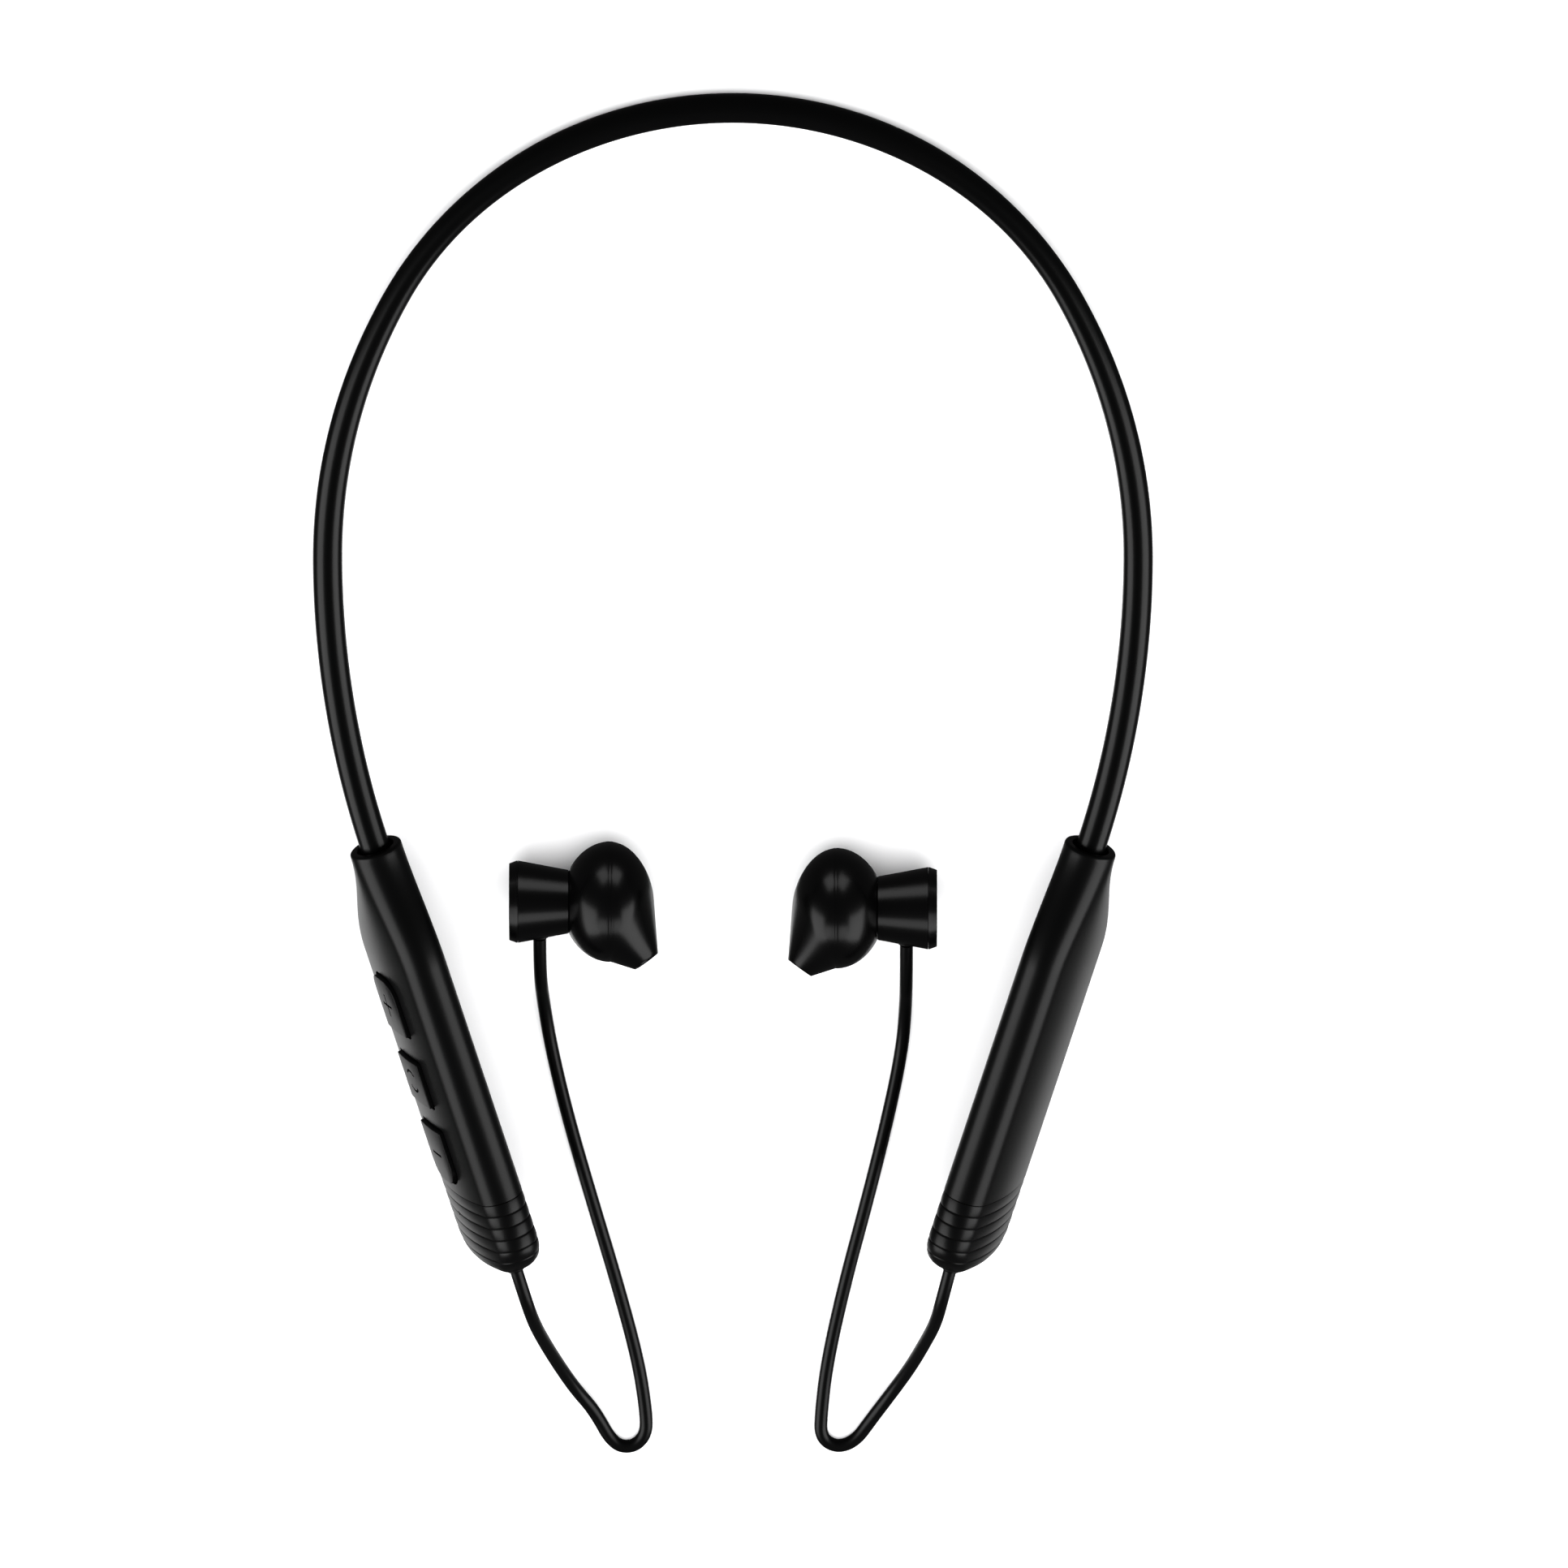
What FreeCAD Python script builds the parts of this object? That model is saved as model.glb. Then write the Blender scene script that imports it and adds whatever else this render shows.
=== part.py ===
import FreeCAD, Part
import math
import os
import Sketcher

# Neckband earphones: a sprung neckband whose two ends carry flat oval pods, and two
# earbuds that hang from the pods on thin cords.  The set lies on a table: it stands on
# the top of the neckband's arc and on the heels of both pods, and the buds lie inside.
# Frame: millimetres, +Z up, +Y towards the top of the arc, +X to the right pod's side,
# origin under the middle of the box round the set without its cords.

os.makedirs("parts", exist_ok=True)
doc = FreeCAD.newDocument("neckband_earphones")

DIMENSIONS = [
    ("sleeve_diameter", 4.5, "outer diameter of the rubber sleeve at its ends"),
    ("sleeve_waist", 3.8, "outer diameter where the sleeve is thinnest"),
    ("waist_turn", 52.0, "turn of the neckband, in degrees, at that thinnest place"),
    ("waist_spread", 25.0, "how many degrees the thinner stretch spreads"),
    ("sleeve_bore", 2.7, "bore of the sleeve"),
    ("wire_diameter", 1.1, "spring steel memory wire"),
    ("cable_diameter", 1.2, "signal cable beside the wire"),
    ("lumen_offset", 0.62, "wire and cable lie this far from the sleeve's axis"),
    ("top_radius", 57.0, "neckband arc behind the neck"),
    ("top_turn", 62.0, "turn of that arc on each side, degrees"),
    ("side_radius", 89.5, "neckband arc over the collar bone"),
    ("end_radius", 158.0, "neckband arc that leads into a pod"),
    ("end_turn", 107.1, "whole turn on each side, degrees"),
    ("table_tilt", 4.88, "slope of the set on the table, degrees"),
    ("arc_top_place", 93.0, "distance from the origin to the top of the arc"),
    ("pod_length", 71.6, "pod from mouth to tip"),
    ("pod_blend", 19.0, "length over which the round mouth grows to the full oval"),
    ("pod_seam", 58.0, "mouth to the seam of the tip cap"),
    ("pod_thick", 8.5, "thickness of the oval"),
    ("pod_wide", 23.0, "width of the oval"),
    ("pod_end_radius", 3.5, "radius of the oval's two ends"),
    ("pod_offset", 3.3, "neckband axis above the oval's middle"),
    ("pod_lean", 21.5, "lean of the oval's long axis towards the neck, degrees"),
    ("mouth_rim", 1.15, "wall round the mouth"),
    ("recess_gap", 0.6, "open ring round the sleeve in the mouth"),
    ("recess_depth", 3.5, "depth of that ring"),
    ("sleeve_seat", 3.0, "length of the sleeve held in its socket behind the ring"),
    ("web_bore", 3.3, "bore for wire and cable behind the recess"),
    ("wall", 1.2, "wall of the pod shell and of the tip cap"),
    ("dome_length", 6.2, "rounded end of the tip cap"),
    ("spigot_length", 3.5, "tip cap inside the shell"),
    ("fit", 0.1, "clearance all round between parts that plug together"),
    ("button_wide", 8.8, "width of all three buttons"),
    ("button_drop", 1.2, "buttons' middle below the oval's middle"),
    ("button_gap", 0.45, "gap round a button in the shell"),
    ("button_proud", 0.45, "button above the shell"),
    ("button_lip", 0.55, "flange beyond the opening"),
    ("lip_thick", 0.55, "thickness of that flange"),
    ("lip_clear", 0.12, "flange's edges behind the shell's inner face"),
    ("stub_length", 0.25, "stub behind a button"),
    ("stub_diameter", 2.0, "diameter of that stub"),
    ("button_travel", 0.3, "travel of a button"),
    ("plus_start", 21.5, "plus button, end nearest the neckband"),
    ("plus_length", 9.1, "length of the plus and minus buttons"),
    ("power_start", 35.1, "power button, end nearest the neckband"),
    ("power_length", 7.5, "length of the power button"),
    ("minus_start", 46.7, "minus button, end nearest the neckband"),
    ("button_round", 2.8, "large corner radius of the plus and minus buttons"),
    ("button_corner", 0.4, "small corner radius of all three buttons"),
    ("mark_depth", 0.2, "depth of the marks in the buttons"),
    ("mark_line", 0.4, "line width of the marks"),
    ("mark_length", 3.8, "length of the plus and minus marks"),
    ("ring_mark", 3.6, "outer diameter of the broken ring mark"),
    ("ring_break", 35.0, "half of each break in that ring, degrees"),
    ("press_gap", 0.05, "air left under a pressed button"),
    ("membrane_thick", 0.25, "silicone sheet over the switches"),
    ("membrane_gap", 0.1, "sheet above the switch plungers"),
    ("switch_case", 0.45, "height of a switch's case"),
    ("switch_wide", 3.0, "side of a switch's case"),
    ("plunger", 0.15, "switch plunger above its case"),
    ("plunger_diameter", 1.4, "diameter of the plunger"),
    ("board_thick", 0.8, "circuit board thickness"),
    ("board_wide", 17.0, "circuit board width"),
    ("solder", 0.02, "parts above their board, and glued faces apart"),
    ("module_thick", 1.5, "radio module under its can"),
    ("chip_thick", 0.9, "power chip"),
    ("microphone_bore", 0.7, "sound hole in the left tip cap"),
    ("cell_wide", 15.0, "width of the lithium cell"),
    ("foam_thick", 0.6, "foam pad on each face of the cell"),
    ("foam_wide", 8.0, "width of the foam pads"),
    ("cell_clear", 0.2, "cell's corners from the shell's inner face"),
    ("port_back", 9.0, "charging port before the seam of the tip cap"),
    ("port_long", 9.2, "charging port's window along the pod"),
    ("port_high", 3.5, "charging port's window across the pod"),
    ("socket_long", 8.94, "charging socket's shell along the pod"),
    ("socket_high", 3.2, "charging socket's shell across the pod"),
    ("socket_deep", 7.3, "charging socket's shell from mouth to back"),
    ("socket_metal", 0.3, "sheet thickness of that shell"),
    ("socket_inset", 1.3, "socket's mouth behind the pod's edge"),
    ("cord_diameter", 2.0, "earbud cord"),
    ("cord_start", 0.35, "cord's first point beyond the tip cap's end"),
    ("grommet_diameter", 2.8, "cord grommet in a tip cap and in an earbud"),
    ("grommet_proud", 0.15, "grommet beyond its housing"),
    ("bud_diameter", 18.2, "largest diameter of an earbud"),
    ("cap_face", 11.6, "flat back face of an earbud"),
    ("cap_diameter", 12.4, "back cap behind its chamfer"),
    ("cap_thick", 1.3, "thickness of the back cap"),
    ("neck_diameter", 9.5, "thin end of the earbud's rear cone"),
    ("cone_length", 7.7, "length of the rear cone"),
    ("rear_depth", 6.3, "rear shell from the cone to the seam"),
    ("front_swell", 6.5, "half axis of the front shell's oval"),
    ("bud_wall", 1.0, "wall of the earbud's shells"),
    ("nozzle_diameter", 4.3, "outer diameter of the nozzle's end"),
    ("nozzle_bore", 3.3, "bore of the nozzle"),
    ("nozzle_ahead", 5.4, "nozzle's end ahead of the seam"),
    ("nozzle_out", 9.0, "nozzle's end out from the earbud's axis"),
    ("nozzle_angle", 54.0, "nozzle's axis from the earbud's axis, degrees"),
    ("cord_entry", 4.6, "cord's entry from the earbud's back face"),
    ("wire_hole", 2.4, "hole for the wires from the rear cone to the driver"),
    ("driver_diameter", 12.0, "dynamic driver"),
]

sheet = doc.addObject("Spreadsheet::Sheet", "sizes")
for row, (alias, value, note) in enumerate(DIMENSIONS, start=1):
    sheet.set("A%d" % row, alias)
    sheet.set("B%d" % row, str(value))
    sheet.setAlias("B%d" % row, alias)
    sheet.set("C%d" % row, note)
doc.recompute()


def size(alias):
    return float(sheet.get(alias))


def value_of(expression):
    """Number that an expression over the sheet gives now."""
    result = sheet.evalExpression(expression)
    return float(getattr(result, "Value", result))


def vector(x, y, z):
    return FreeCAD.Vector(x, y, z)


def frame_of(x_axis, y_axis, z_axis, base):
    """Placement whose local axes lie along three given directions."""
    matrix = FreeCAD.Matrix(
        x_axis.x, y_axis.x, z_axis.x, base.x,
        x_axis.y, y_axis.y, z_axis.y, base.y,
        x_axis.z, y_axis.z, z_axis.z, base.z,
        0, 0, 0, 1)
    return FreeCAD.Placement(matrix)


# ---------------------------------------------------------------- places
SUBPARTS = []
TILT = size("table_tilt")
BAND_PLACE = FreeCAD.Placement(
    vector(0, size("arc_top_place"), size("sleeve_diameter") / 2),
    FreeCAD.Rotation(vector(1, 0, 0), -TILT))


def band_point(turn_degrees):
    """Point and heading of the right half of the neckband after a turn."""
    turn = math.radians(turn_degrees)
    top_turn = math.radians(min(turn_degrees, size("top_turn")))
    x = size("top_radius") * math.sin(top_turn)
    y = -size("top_radius") * (1 - math.cos(top_turn))
    if turn_degrees > size("top_turn"):
        side_turn = math.radians(min(turn_degrees, 90.0))
        x += size("side_radius") * (math.sin(side_turn) - math.sin(top_turn))
        y -= size("side_radius") * (math.cos(top_turn) - math.cos(side_turn))
    if turn_degrees > 90.0:
        x -= size("end_radius") * (1 - math.sin(turn))
        y -= size("end_radius") * (-math.cos(turn))
    return vector(x, y, 0), vector(math.cos(turn), -math.sin(turn), 0)


def pod_place(side):
    """Pod frame: +Z from mouth to tip, +Y up the long axis, origin on the neckband axis."""
    mouth, heading = band_point(size("end_turn"))
    mouth.x *= side
    heading.x *= side
    inward = vector(-side * abs(heading.y), abs(heading.x), 0)
    lean = math.radians(size("pod_lean"))
    up = vector(0, 0, 1) * math.cos(lean) + inward * math.sin(lean)
    outer_normal = vector(0, 0, 1) * math.sin(lean) - inward * math.cos(lean)
    # the outer face is local +X on the right pod and local -X on the left one
    return BAND_PLACE.multiply(frame_of(outer_normal * side, up, heading, mouth))


def bud_place(side, back_x, axis_y, roll_degrees):
    """Earbud frame: +Z from the back face to the front, +X turned up from -Y by roll."""
    roll = math.radians(roll_degrees)
    z_axis = vector(-side, 0, 0)
    x_axis = vector(0, -math.cos(roll), math.sin(roll))
    y_axis = z_axis.cross(x_axis)
    base = vector(back_x, axis_y, size("bud_diameter") / 2)
    return frame_of(x_axis, y_axis, z_axis, base)


# ---------------------------------------------------------------- tools for bodies
def finished(item, label, place):
    item.Label = label
    item.Placement = place
    SUBPARTS.append(item)
    return item


def body_for(label):
    body = doc.addObject("PartDesign::Body", label)
    body.Label = label
    return body


def sketch_on(body, role, name, level="0"):
    """Sketch on one of the body's own origin planes, lifted along its normal."""
    sketch = body.newObject("Sketcher::SketchObject", name)
    plane = [p for p in body.Origin.OriginFeatures if p.Role == role][0]
    sketch.AttachmentSupport = [(plane, "")]
    sketch.MapMode = "FlatFace"
    sketch.setExpression("AttachmentOffset.Base.z", level)
    return sketch


def fix(sketch, kind, *spots, to):
    """Add a size constraint and bind it to an expression over the sheet."""
    index = sketch.addConstraint(Sketcher.Constraint(kind, *spots, value_of(to)))
    sketch.setExpression("Constraints[%d]" % index, to)


def circle_in(sketch, diameter, x="0", y="0"):
    centre = vector(value_of(x), value_of(y), 0)
    edge = sketch.addGeometry(
        Part.Circle(centre, vector(0, 0, 1), value_of(diameter) / 2), False)
    fix(sketch, "Diameter", edge, to=diameter)
    for kind, place in (("DistanceX", x), ("DistanceY", y)):
        if place == "0":
            axis = -2 if kind == "DistanceX" else -1
            sketch.addConstraint(Sketcher.Constraint("PointOnObject", edge, 3, axis))
        else:
            fix(sketch, kind, edge, 3, to=place)
    return sketch


def outline_in(sketch, corners):
    """Closed outline of straight edges; each corner is a pair of expressions."""
    points = [vector(value_of(x), value_of(y), 0) for x, y in corners]
    first = None
    count = len(points)
    for index in range(count):
        edge = sketch.addGeometry(
            Part.LineSegment(points[index], points[(index + 1) % count]), False)
        first = edge if first is None else first
    for index in range(count):
        sketch.addConstraint(Sketcher.Constraint(
            "Coincident", first + index, 2, first + (index + 1) % count, 1))
    for index, (x, y) in enumerate(corners):
        fix(sketch, "DistanceX", first + index, 1, to=x)
        fix(sketch, "DistanceY", first + index, 1, to=y)
    return sketch


def box_in(sketch, x_low, x_high, y_low, y_high):
    return outline_in(sketch, [(x_low, y_low), (x_high, y_low),
                               (x_high, y_high), (x_low, y_high)])


def rounded_in(sketch, x_low, x_high, y_low, y_high, near_radius, far_radius):
    """Rectangle with one corner radius at its low end and one at its high end."""
    left, right, low, high = [value_of(text) for text in (x_low, x_high, y_low, y_high)]
    near, far = value_of(near_radius), value_of(far_radius)
    normal = vector(0, 0, 1)
    runs = [((left + near, low), (right - near, low)), ((right, low + near), (right, high - far)),
            ((right - far, high), (left + far, high)), ((left, high - far), (left, low + near))]
    centres = [(right - near, low + near, near), (right - far, high - far, far),
               (left + far, high - far, far), (left + near, low + near, near)]
    for corner in range(4):
        (x1, y1), (x2, y2) = runs[corner]
        sketch.addGeometry(Part.LineSegment(vector(x1, y1, 0), vector(x2, y2, 0)), False)
        x, y, radius = centres[corner]
        begin = math.radians(90 * corner - 90)
        circle = Part.Circle(vector(x, y, 0), normal, radius)
        sketch.addGeometry(Part.ArcOfCircle(circle, begin, begin + math.pi / 2), False)
    for edge in range(8):
        sketch.addConstraint(Sketcher.Constraint("Tangent", edge, 2, (edge + 1) % 8, 1))
    sketch.addConstraint(Sketcher.Constraint("Horizontal", 0))
    sketch.addConstraint(Sketcher.Constraint("Vertical", 2))
    sketch.addConstraint(Sketcher.Constraint("Horizontal", 4))
    sketch.addConstraint(Sketcher.Constraint("Vertical", 6))
    for arc, radius in ((1, near_radius), (3, far_radius), (5, far_radius), (7, near_radius)):
        fix(sketch, "Radius", arc, to=radius)
    fix(sketch, "DistanceY", 0, 1, to=y_low)
    fix(sketch, "DistanceX", 2, 1, to=x_high)
    fix(sketch, "DistanceY", 4, 1, to=y_high)
    fix(sketch, "DistanceX", 6, 1, to=x_low)
    return sketch


def oval_in(sketch, half_thick, half_wide, end_radius, middle):
    """Oval of four tangent arcs, long axis along the sketch's vertical."""
    thick, wide = value_of(half_thick), value_of(half_wide)
    small, centre_y = value_of(end_radius), value_of(middle)
    reach = wide - small
    big = (thick ** 2 + reach ** 2 - small ** 2) / (2 * (thick - small))
    spread = math.atan2(reach, big - thick)
    normal = vector(0, 0, 1)
    for centre, radius, start, stop in (
            (vector(thick - big, centre_y, 0), big, -spread, spread),
            (vector(0, centre_y + reach, 0), small, spread, math.pi - spread),
            (vector(big - thick, centre_y, 0), big, math.pi - spread, math.pi + spread),
            (vector(0, centre_y - reach, 0), small, math.pi + spread, 2 * math.pi - spread)):
        sketch.addGeometry(
            Part.ArcOfCircle(Part.Circle(centre, normal, radius), start, stop), False)
    for arc in range(4):
        sketch.addConstraint(Sketcher.Constraint("Tangent", arc, 2, (arc + 1) % 4, 1))
    for arc in (1, 3):
        sketch.addConstraint(Sketcher.Constraint("PointOnObject", arc, 3, -2))
    reach_text = "((%s) - (%s))" % (half_wide, end_radius)
    big_text = "((%s)^2 + %s^2 - (%s)^2) / (2 * ((%s) - (%s)))" % (
        half_thick, reach_text, end_radius, half_thick, end_radius)
    fix(sketch, "Radius", 1, to=end_radius)
    fix(sketch, "Radius", 3, to=end_radius)
    fix(sketch, "Radius", 0, to=big_text)
    fix(sketch, "Radius", 2, to=big_text)
    fix(sketch, "DistanceY", 1, 3, to="(%s) + %s" % (middle, reach_text))
    fix(sketch, "DistanceY", 3, 3, to="(%s) - %s" % (middle, reach_text))
    return sketch


def arc_slot_in(sketch, centre_x, middle, begin, end):
    """Arc-shaped slot of the ring mark, between two angles in degrees given as text."""
    centre = vector(value_of(centre_x), value_of(middle), 0)
    corners = []
    for arc, diameter in enumerate(("sizes.ring_mark", "(sizes.ring_mark - 2 * sizes.mark_line)")):
        circle = Part.Circle(centre, vector(0, 0, 1), value_of(diameter) / 2)
        sketch.addGeometry(Part.ArcOfCircle(
            circle, math.radians(value_of(begin)), math.radians(value_of(end))), False)
        fix(sketch, "Radius", arc, to="%s / 2" % diameter)
        fix(sketch, "DistanceX", arc, 3, to=centre_x)
        fix(sketch, "DistanceY", arc, 3, to=middle)
        for spot, angle in ((1, begin), (2, end)):
            fix(sketch, "DistanceY", arc, spot,
                to="%s + %s / 2 * sin((%s) * 1 deg)" % (middle, diameter, angle))
            angle_now = math.radians(value_of(angle))
            radius = value_of(diameter) / 2
            corners.append(centre + vector(math.cos(angle_now), math.sin(angle_now), 0) * radius)
    for line, spot in ((2, 1), (3, 2)):
        sketch.addGeometry(Part.LineSegment(corners[spot - 1], corners[spot + 1]), False)
        sketch.addConstraint(Sketcher.Constraint("Coincident", line, 1, 0, spot))
        sketch.addConstraint(Sketcher.Constraint("Coincident", line, 2, 1, spot))
    return sketch


def pad(body, sketch, name, length, reverse=False):
    feature = body.newObject("PartDesign::Pad", name)
    feature.Profile = sketch
    feature.setExpression("Length", length)
    feature.Reversed = reverse
    return feature


def pocket(body, sketch, name, length=None, reverse=False):
    """Cut a sketch out of the body, through everything where no length is given."""
    doc.recompute()
    before = body.Shape.Volume
    feature = body.newObject("PartDesign::Pocket", name)
    feature.Profile = sketch
    feature.Reversed = reverse
    if length is None:
        feature.Type = "ThroughAll"
    else:
        feature.setExpression("Length", length)
    doc.recompute()
    if not body.Shape.Volume < before - 1e-4:
        raise RuntimeError("pocket %s cut nothing from %s" % (name, body.Label))
    return feature


def loft(body, kind, name, sketches, ruled=False):
    feature = body.newObject(kind, name)
    feature.Profile = sketches[0]
    feature.Sections = sketches[1:]
    feature.Ruled = ruled
    return feature


def turned(body, name, corners):
    """Solid of revolution about the body's Z axis; corners are (radius, height)."""
    sketch = sketch_on(body, "XZ_Plane", name + "_outline")
    outline_in(sketch, corners)
    feature = body.newObject("PartDesign::Revolution", name)
    feature.Profile = sketch
    feature.ReferenceAxis = (sketch, ["V_Axis"])
    return feature


def block(label, place, spans):
    """Plain box between expressions (low, high) along the three local axes."""
    item = doc.addObject("Part::Box", label)
    for axis, side_name, (low, high) in zip("xyz", ("Length", "Width", "Height"), spans):
        item.setExpression(side_name, "(%s) - (%s)" % (high, low))
    corner = vector(*[value_of(low) for low, high in spans])
    return finished(item, label, place.multiply(FreeCAD.Placement(corner, FreeCAD.Rotation())))


def rod(label, diameter, base, axis, length):
    """Part cylinder from a base point along an axis, not yet a sub-part."""
    item = doc.addObject("Part::Cylinder", label)
    item.setExpression("Radius", "(%s) / 2" % diameter)
    item.setExpression("Height", length)
    item.Placement = FreeCAD.Placement(base, FreeCAD.Rotation(vector(0, 0, 1), axis))
    return item


def joined(label, items, place):
    item = doc.addObject("Part::Compound", label)
    item.Links = items
    return finished(item, label, place)


def cut(name, base, tool):
    item = doc.addObject("Part::Cut", name)
    item.Base = base
    item.Tool = tool
    return item


# ---------------------------------------------------------------- neckband
INSERTION = size("recess_depth") + size("sleeve_seat")
STATION_SPACING = 6.2


def band_stations():
    """Turns, evenly spaced along the band, at which the sleeve's section is set."""
    turns = [0.0]
    for radius, start, stop in ((size("top_radius"), 0.0, size("top_turn")),
                                (size("side_radius"), size("top_turn"), 90.0),
                                (size("end_radius"), 90.0, size("end_turn"))):
        count = int(round(radius * math.radians(stop - start) / STATION_SPACING))
        turns += [start + (stop - start) * (step + 1) / count for step in range(count)]
    return turns


def sleeve_width(turn_degrees):
    thinner = size("sleeve_diameter") - size("sleeve_waist")
    away = (turn_degrees - size("waist_turn")) / size("waist_spread")
    return size("sleeve_diameter") - thinner * math.exp(-away ** 2)


def band_wire():
    """Centre line of the neckband: three arcs a side and a short straight run in each pod."""
    halves = []
    for side in (-1, 1):
        edges = []
        for start, stop in ((0.0, size("top_turn")), (size("top_turn"), 90.0),
                            (90.0, size("end_turn"))):
            spots = [band_point(turn)[0] for turn in (start, (start + stop) / 2, stop)]
            for spot in spots:
                spot.x *= side
            edges.append(Part.Arc(*spots).toShape())
        end, heading = band_point(size("end_turn"))
        tail = end + heading * INSERTION
        for spot in (end, tail):
            spot.x *= side
        edges.append(Part.LineSegment(end, tail).toShape())
        halves.append(edges)
    return Part.Wire(list(reversed(halves[0])) + halves[1])


def band_sleeve():
    """The sleeve's width changes along three arcs, which no single sketched pipe gives."""
    rings = []
    for side in (-1, 1):
        half = []
        for turn in band_stations():
            spot, heading = band_point(turn)
            half.append((spot, heading, sleeve_width(turn)))
        end, heading = band_point(size("end_turn"))
        half.append((end + heading * INSERTION, heading, size("sleeve_diameter")))
        for spot, heading, width in half if side > 0 else reversed(half[1:]):
            centre = vector(spot.x * side, spot.y, 0)
            along = vector(heading.x, heading.y * side, 0)
            ring = Part.makeCircle(width / 2, centre, along)
            rings.append(Part.Wire(ring))
    outside = Part.makeLoft(rings, True, False)
    spine = band_wire()
    start = spine.OrderedVertexes[0].Point
    direction = spine.OrderedEdges[0].tangentAt(spine.OrderedEdges[0].FirstParameter)
    bore_ring = Part.Wire(Part.makeCircle(size("sleeve_bore") / 2, start, direction))
    bore = spine.makePipeShell([bore_ring], True, False)
    item = doc.addObject("Part::Feature", "band_sleeve")
    item.Shape = outside.cut(bore)
    finished(item, "band_sleeve", BAND_PLACE)


def lumen(label, diameter, level, spare):
    """Round wire or cable along the neckband, made as one half and its mirror image."""
    body = body_for(label)
    path = sketch_on(body, "XY_Plane", label + "_path", level)
    spots = [band_point(turn)[0] for turn in
             (0.0, size("top_turn") / 2, size("top_turn"), (size("top_turn") + 90.0) / 2,
              90.0, (90.0 + size("end_turn")) / 2, size("end_turn"))]
    for first in (0, 2, 4):
        path.addGeometry(Part.Arc(spots[first], spots[first + 1], spots[first + 2]), False)
    end, heading = band_point(size("end_turn"))
    path.addGeometry(Part.LineSegment(end, end + heading * spare), False)
    section = sketch_on(body, "YZ_Plane", label + "_section")
    circle_in(section, diameter, "0", level)
    pipe = body.newObject("PartDesign::AdditivePipe", label + "_pipe")
    pipe.Profile = section
    pipe.Spine = (path, ["Edge%d" % (edge + 1) for edge in range(4)])
    other_half = body.newObject("PartDesign::Mirrored", label + "_mirror")
    other_half.Originals = [pipe]
    other_half.MirrorPlane = (
        [p for p in body.Origin.OriginFeatures if p.Role == "YZ_Plane"][0], [""])
    body.Tip = other_half
    finished(body, label, BAND_PLACE)


# ---------------------------------------------------------------- pods
FULL = ("sizes.pod_thick / 2", "sizes.pod_wide / 2", "sizes.pod_end_radius")
MIDDLE = "(-sizes.pod_offset)"
POD_EDGE = "(-sizes.pod_wide / 2 - sizes.pod_offset)"
RECESS = "(sizes.sleeve_diameter + 2 * sizes.recess_gap)"
MOUTH = "(%s + 2 * sizes.mouth_rim)" % RECESS
WEB_END = "(sizes.pod_blend * 0.6)"
BUTTON_MIDDLE = "(-sizes.pod_offset - sizes.button_drop)"
SIDE_RADIUS = ("(((sizes.pod_thick / 2) ^ 2 + (sizes.pod_wide / 2 - sizes.pod_end_radius) ^ 2"
               " - sizes.pod_end_radius ^ 2) / (sizes.pod_thick - 2 * sizes.pod_end_radius))")


def cavity_half(away):
    """Half thickness of a pod's cavity at a distance from the oval's middle."""
    return "(sizes.pod_thick / 2 - %s + sqrt((%s - sizes.wall) ^ 2 - (%s) ^ 2))" % (
        SIDE_RADIUS, SIDE_RADIUS, away)


# the stack behind the buttons, as distances from the middle of the oval to the outer face
LIP_EDGE = "(sizes.button_drop + sizes.button_wide / 2 + sizes.button_gap + sizes.button_lip)"
LIP_TOP = "(%s - sizes.lip_clear)" % cavity_half(LIP_EDGE)
STUB_END = "(%s - sizes.lip_thick - sizes.stub_length)" % LIP_TOP
MEMBRANE_LOW = "(%s - sizes.button_travel - sizes.press_gap - sizes.membrane_thick)" % STUB_END
BOARD_TOP = "(%s - sizes.membrane_gap - sizes.plunger - sizes.switch_case)" % MEMBRANE_LOW
PORT_CENTRE = "(sizes.pod_seam - sizes.port_back)"
MICROPHONE_Y = "(-sizes.pod_offset - 2.5)"
MICROPHONE_Z = "(sizes.pod_seam + 4)"
NECK_STEPS = 6
DOME_STEPS = (0.0, 0.35, 0.62, 0.82, 0.95)
# name, start along the pod, length, rounded corners at the (near, far) end
BUTTONS = [
    ("plus_button", "sizes.plus_start", "sizes.plus_length", (True, False)),
    ("power_button", "sizes.power_start", "sizes.power_length", (False, False)),
    ("minus_button", "sizes.minus_start", "sizes.plus_length", (False, True)),
]


def shrunk(amount):
    """The pod's oval made smaller all round."""
    return tuple("(%s) - (%s)" % (text, amount) for text in FULL)


def mouth_oval(diameter):
    """Nearly round oval that a loft can grow from."""
    return ("%s * 0.5" % diameter, "%s * 0.506" % diameter, "%s * 0.493" % diameter)


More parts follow.
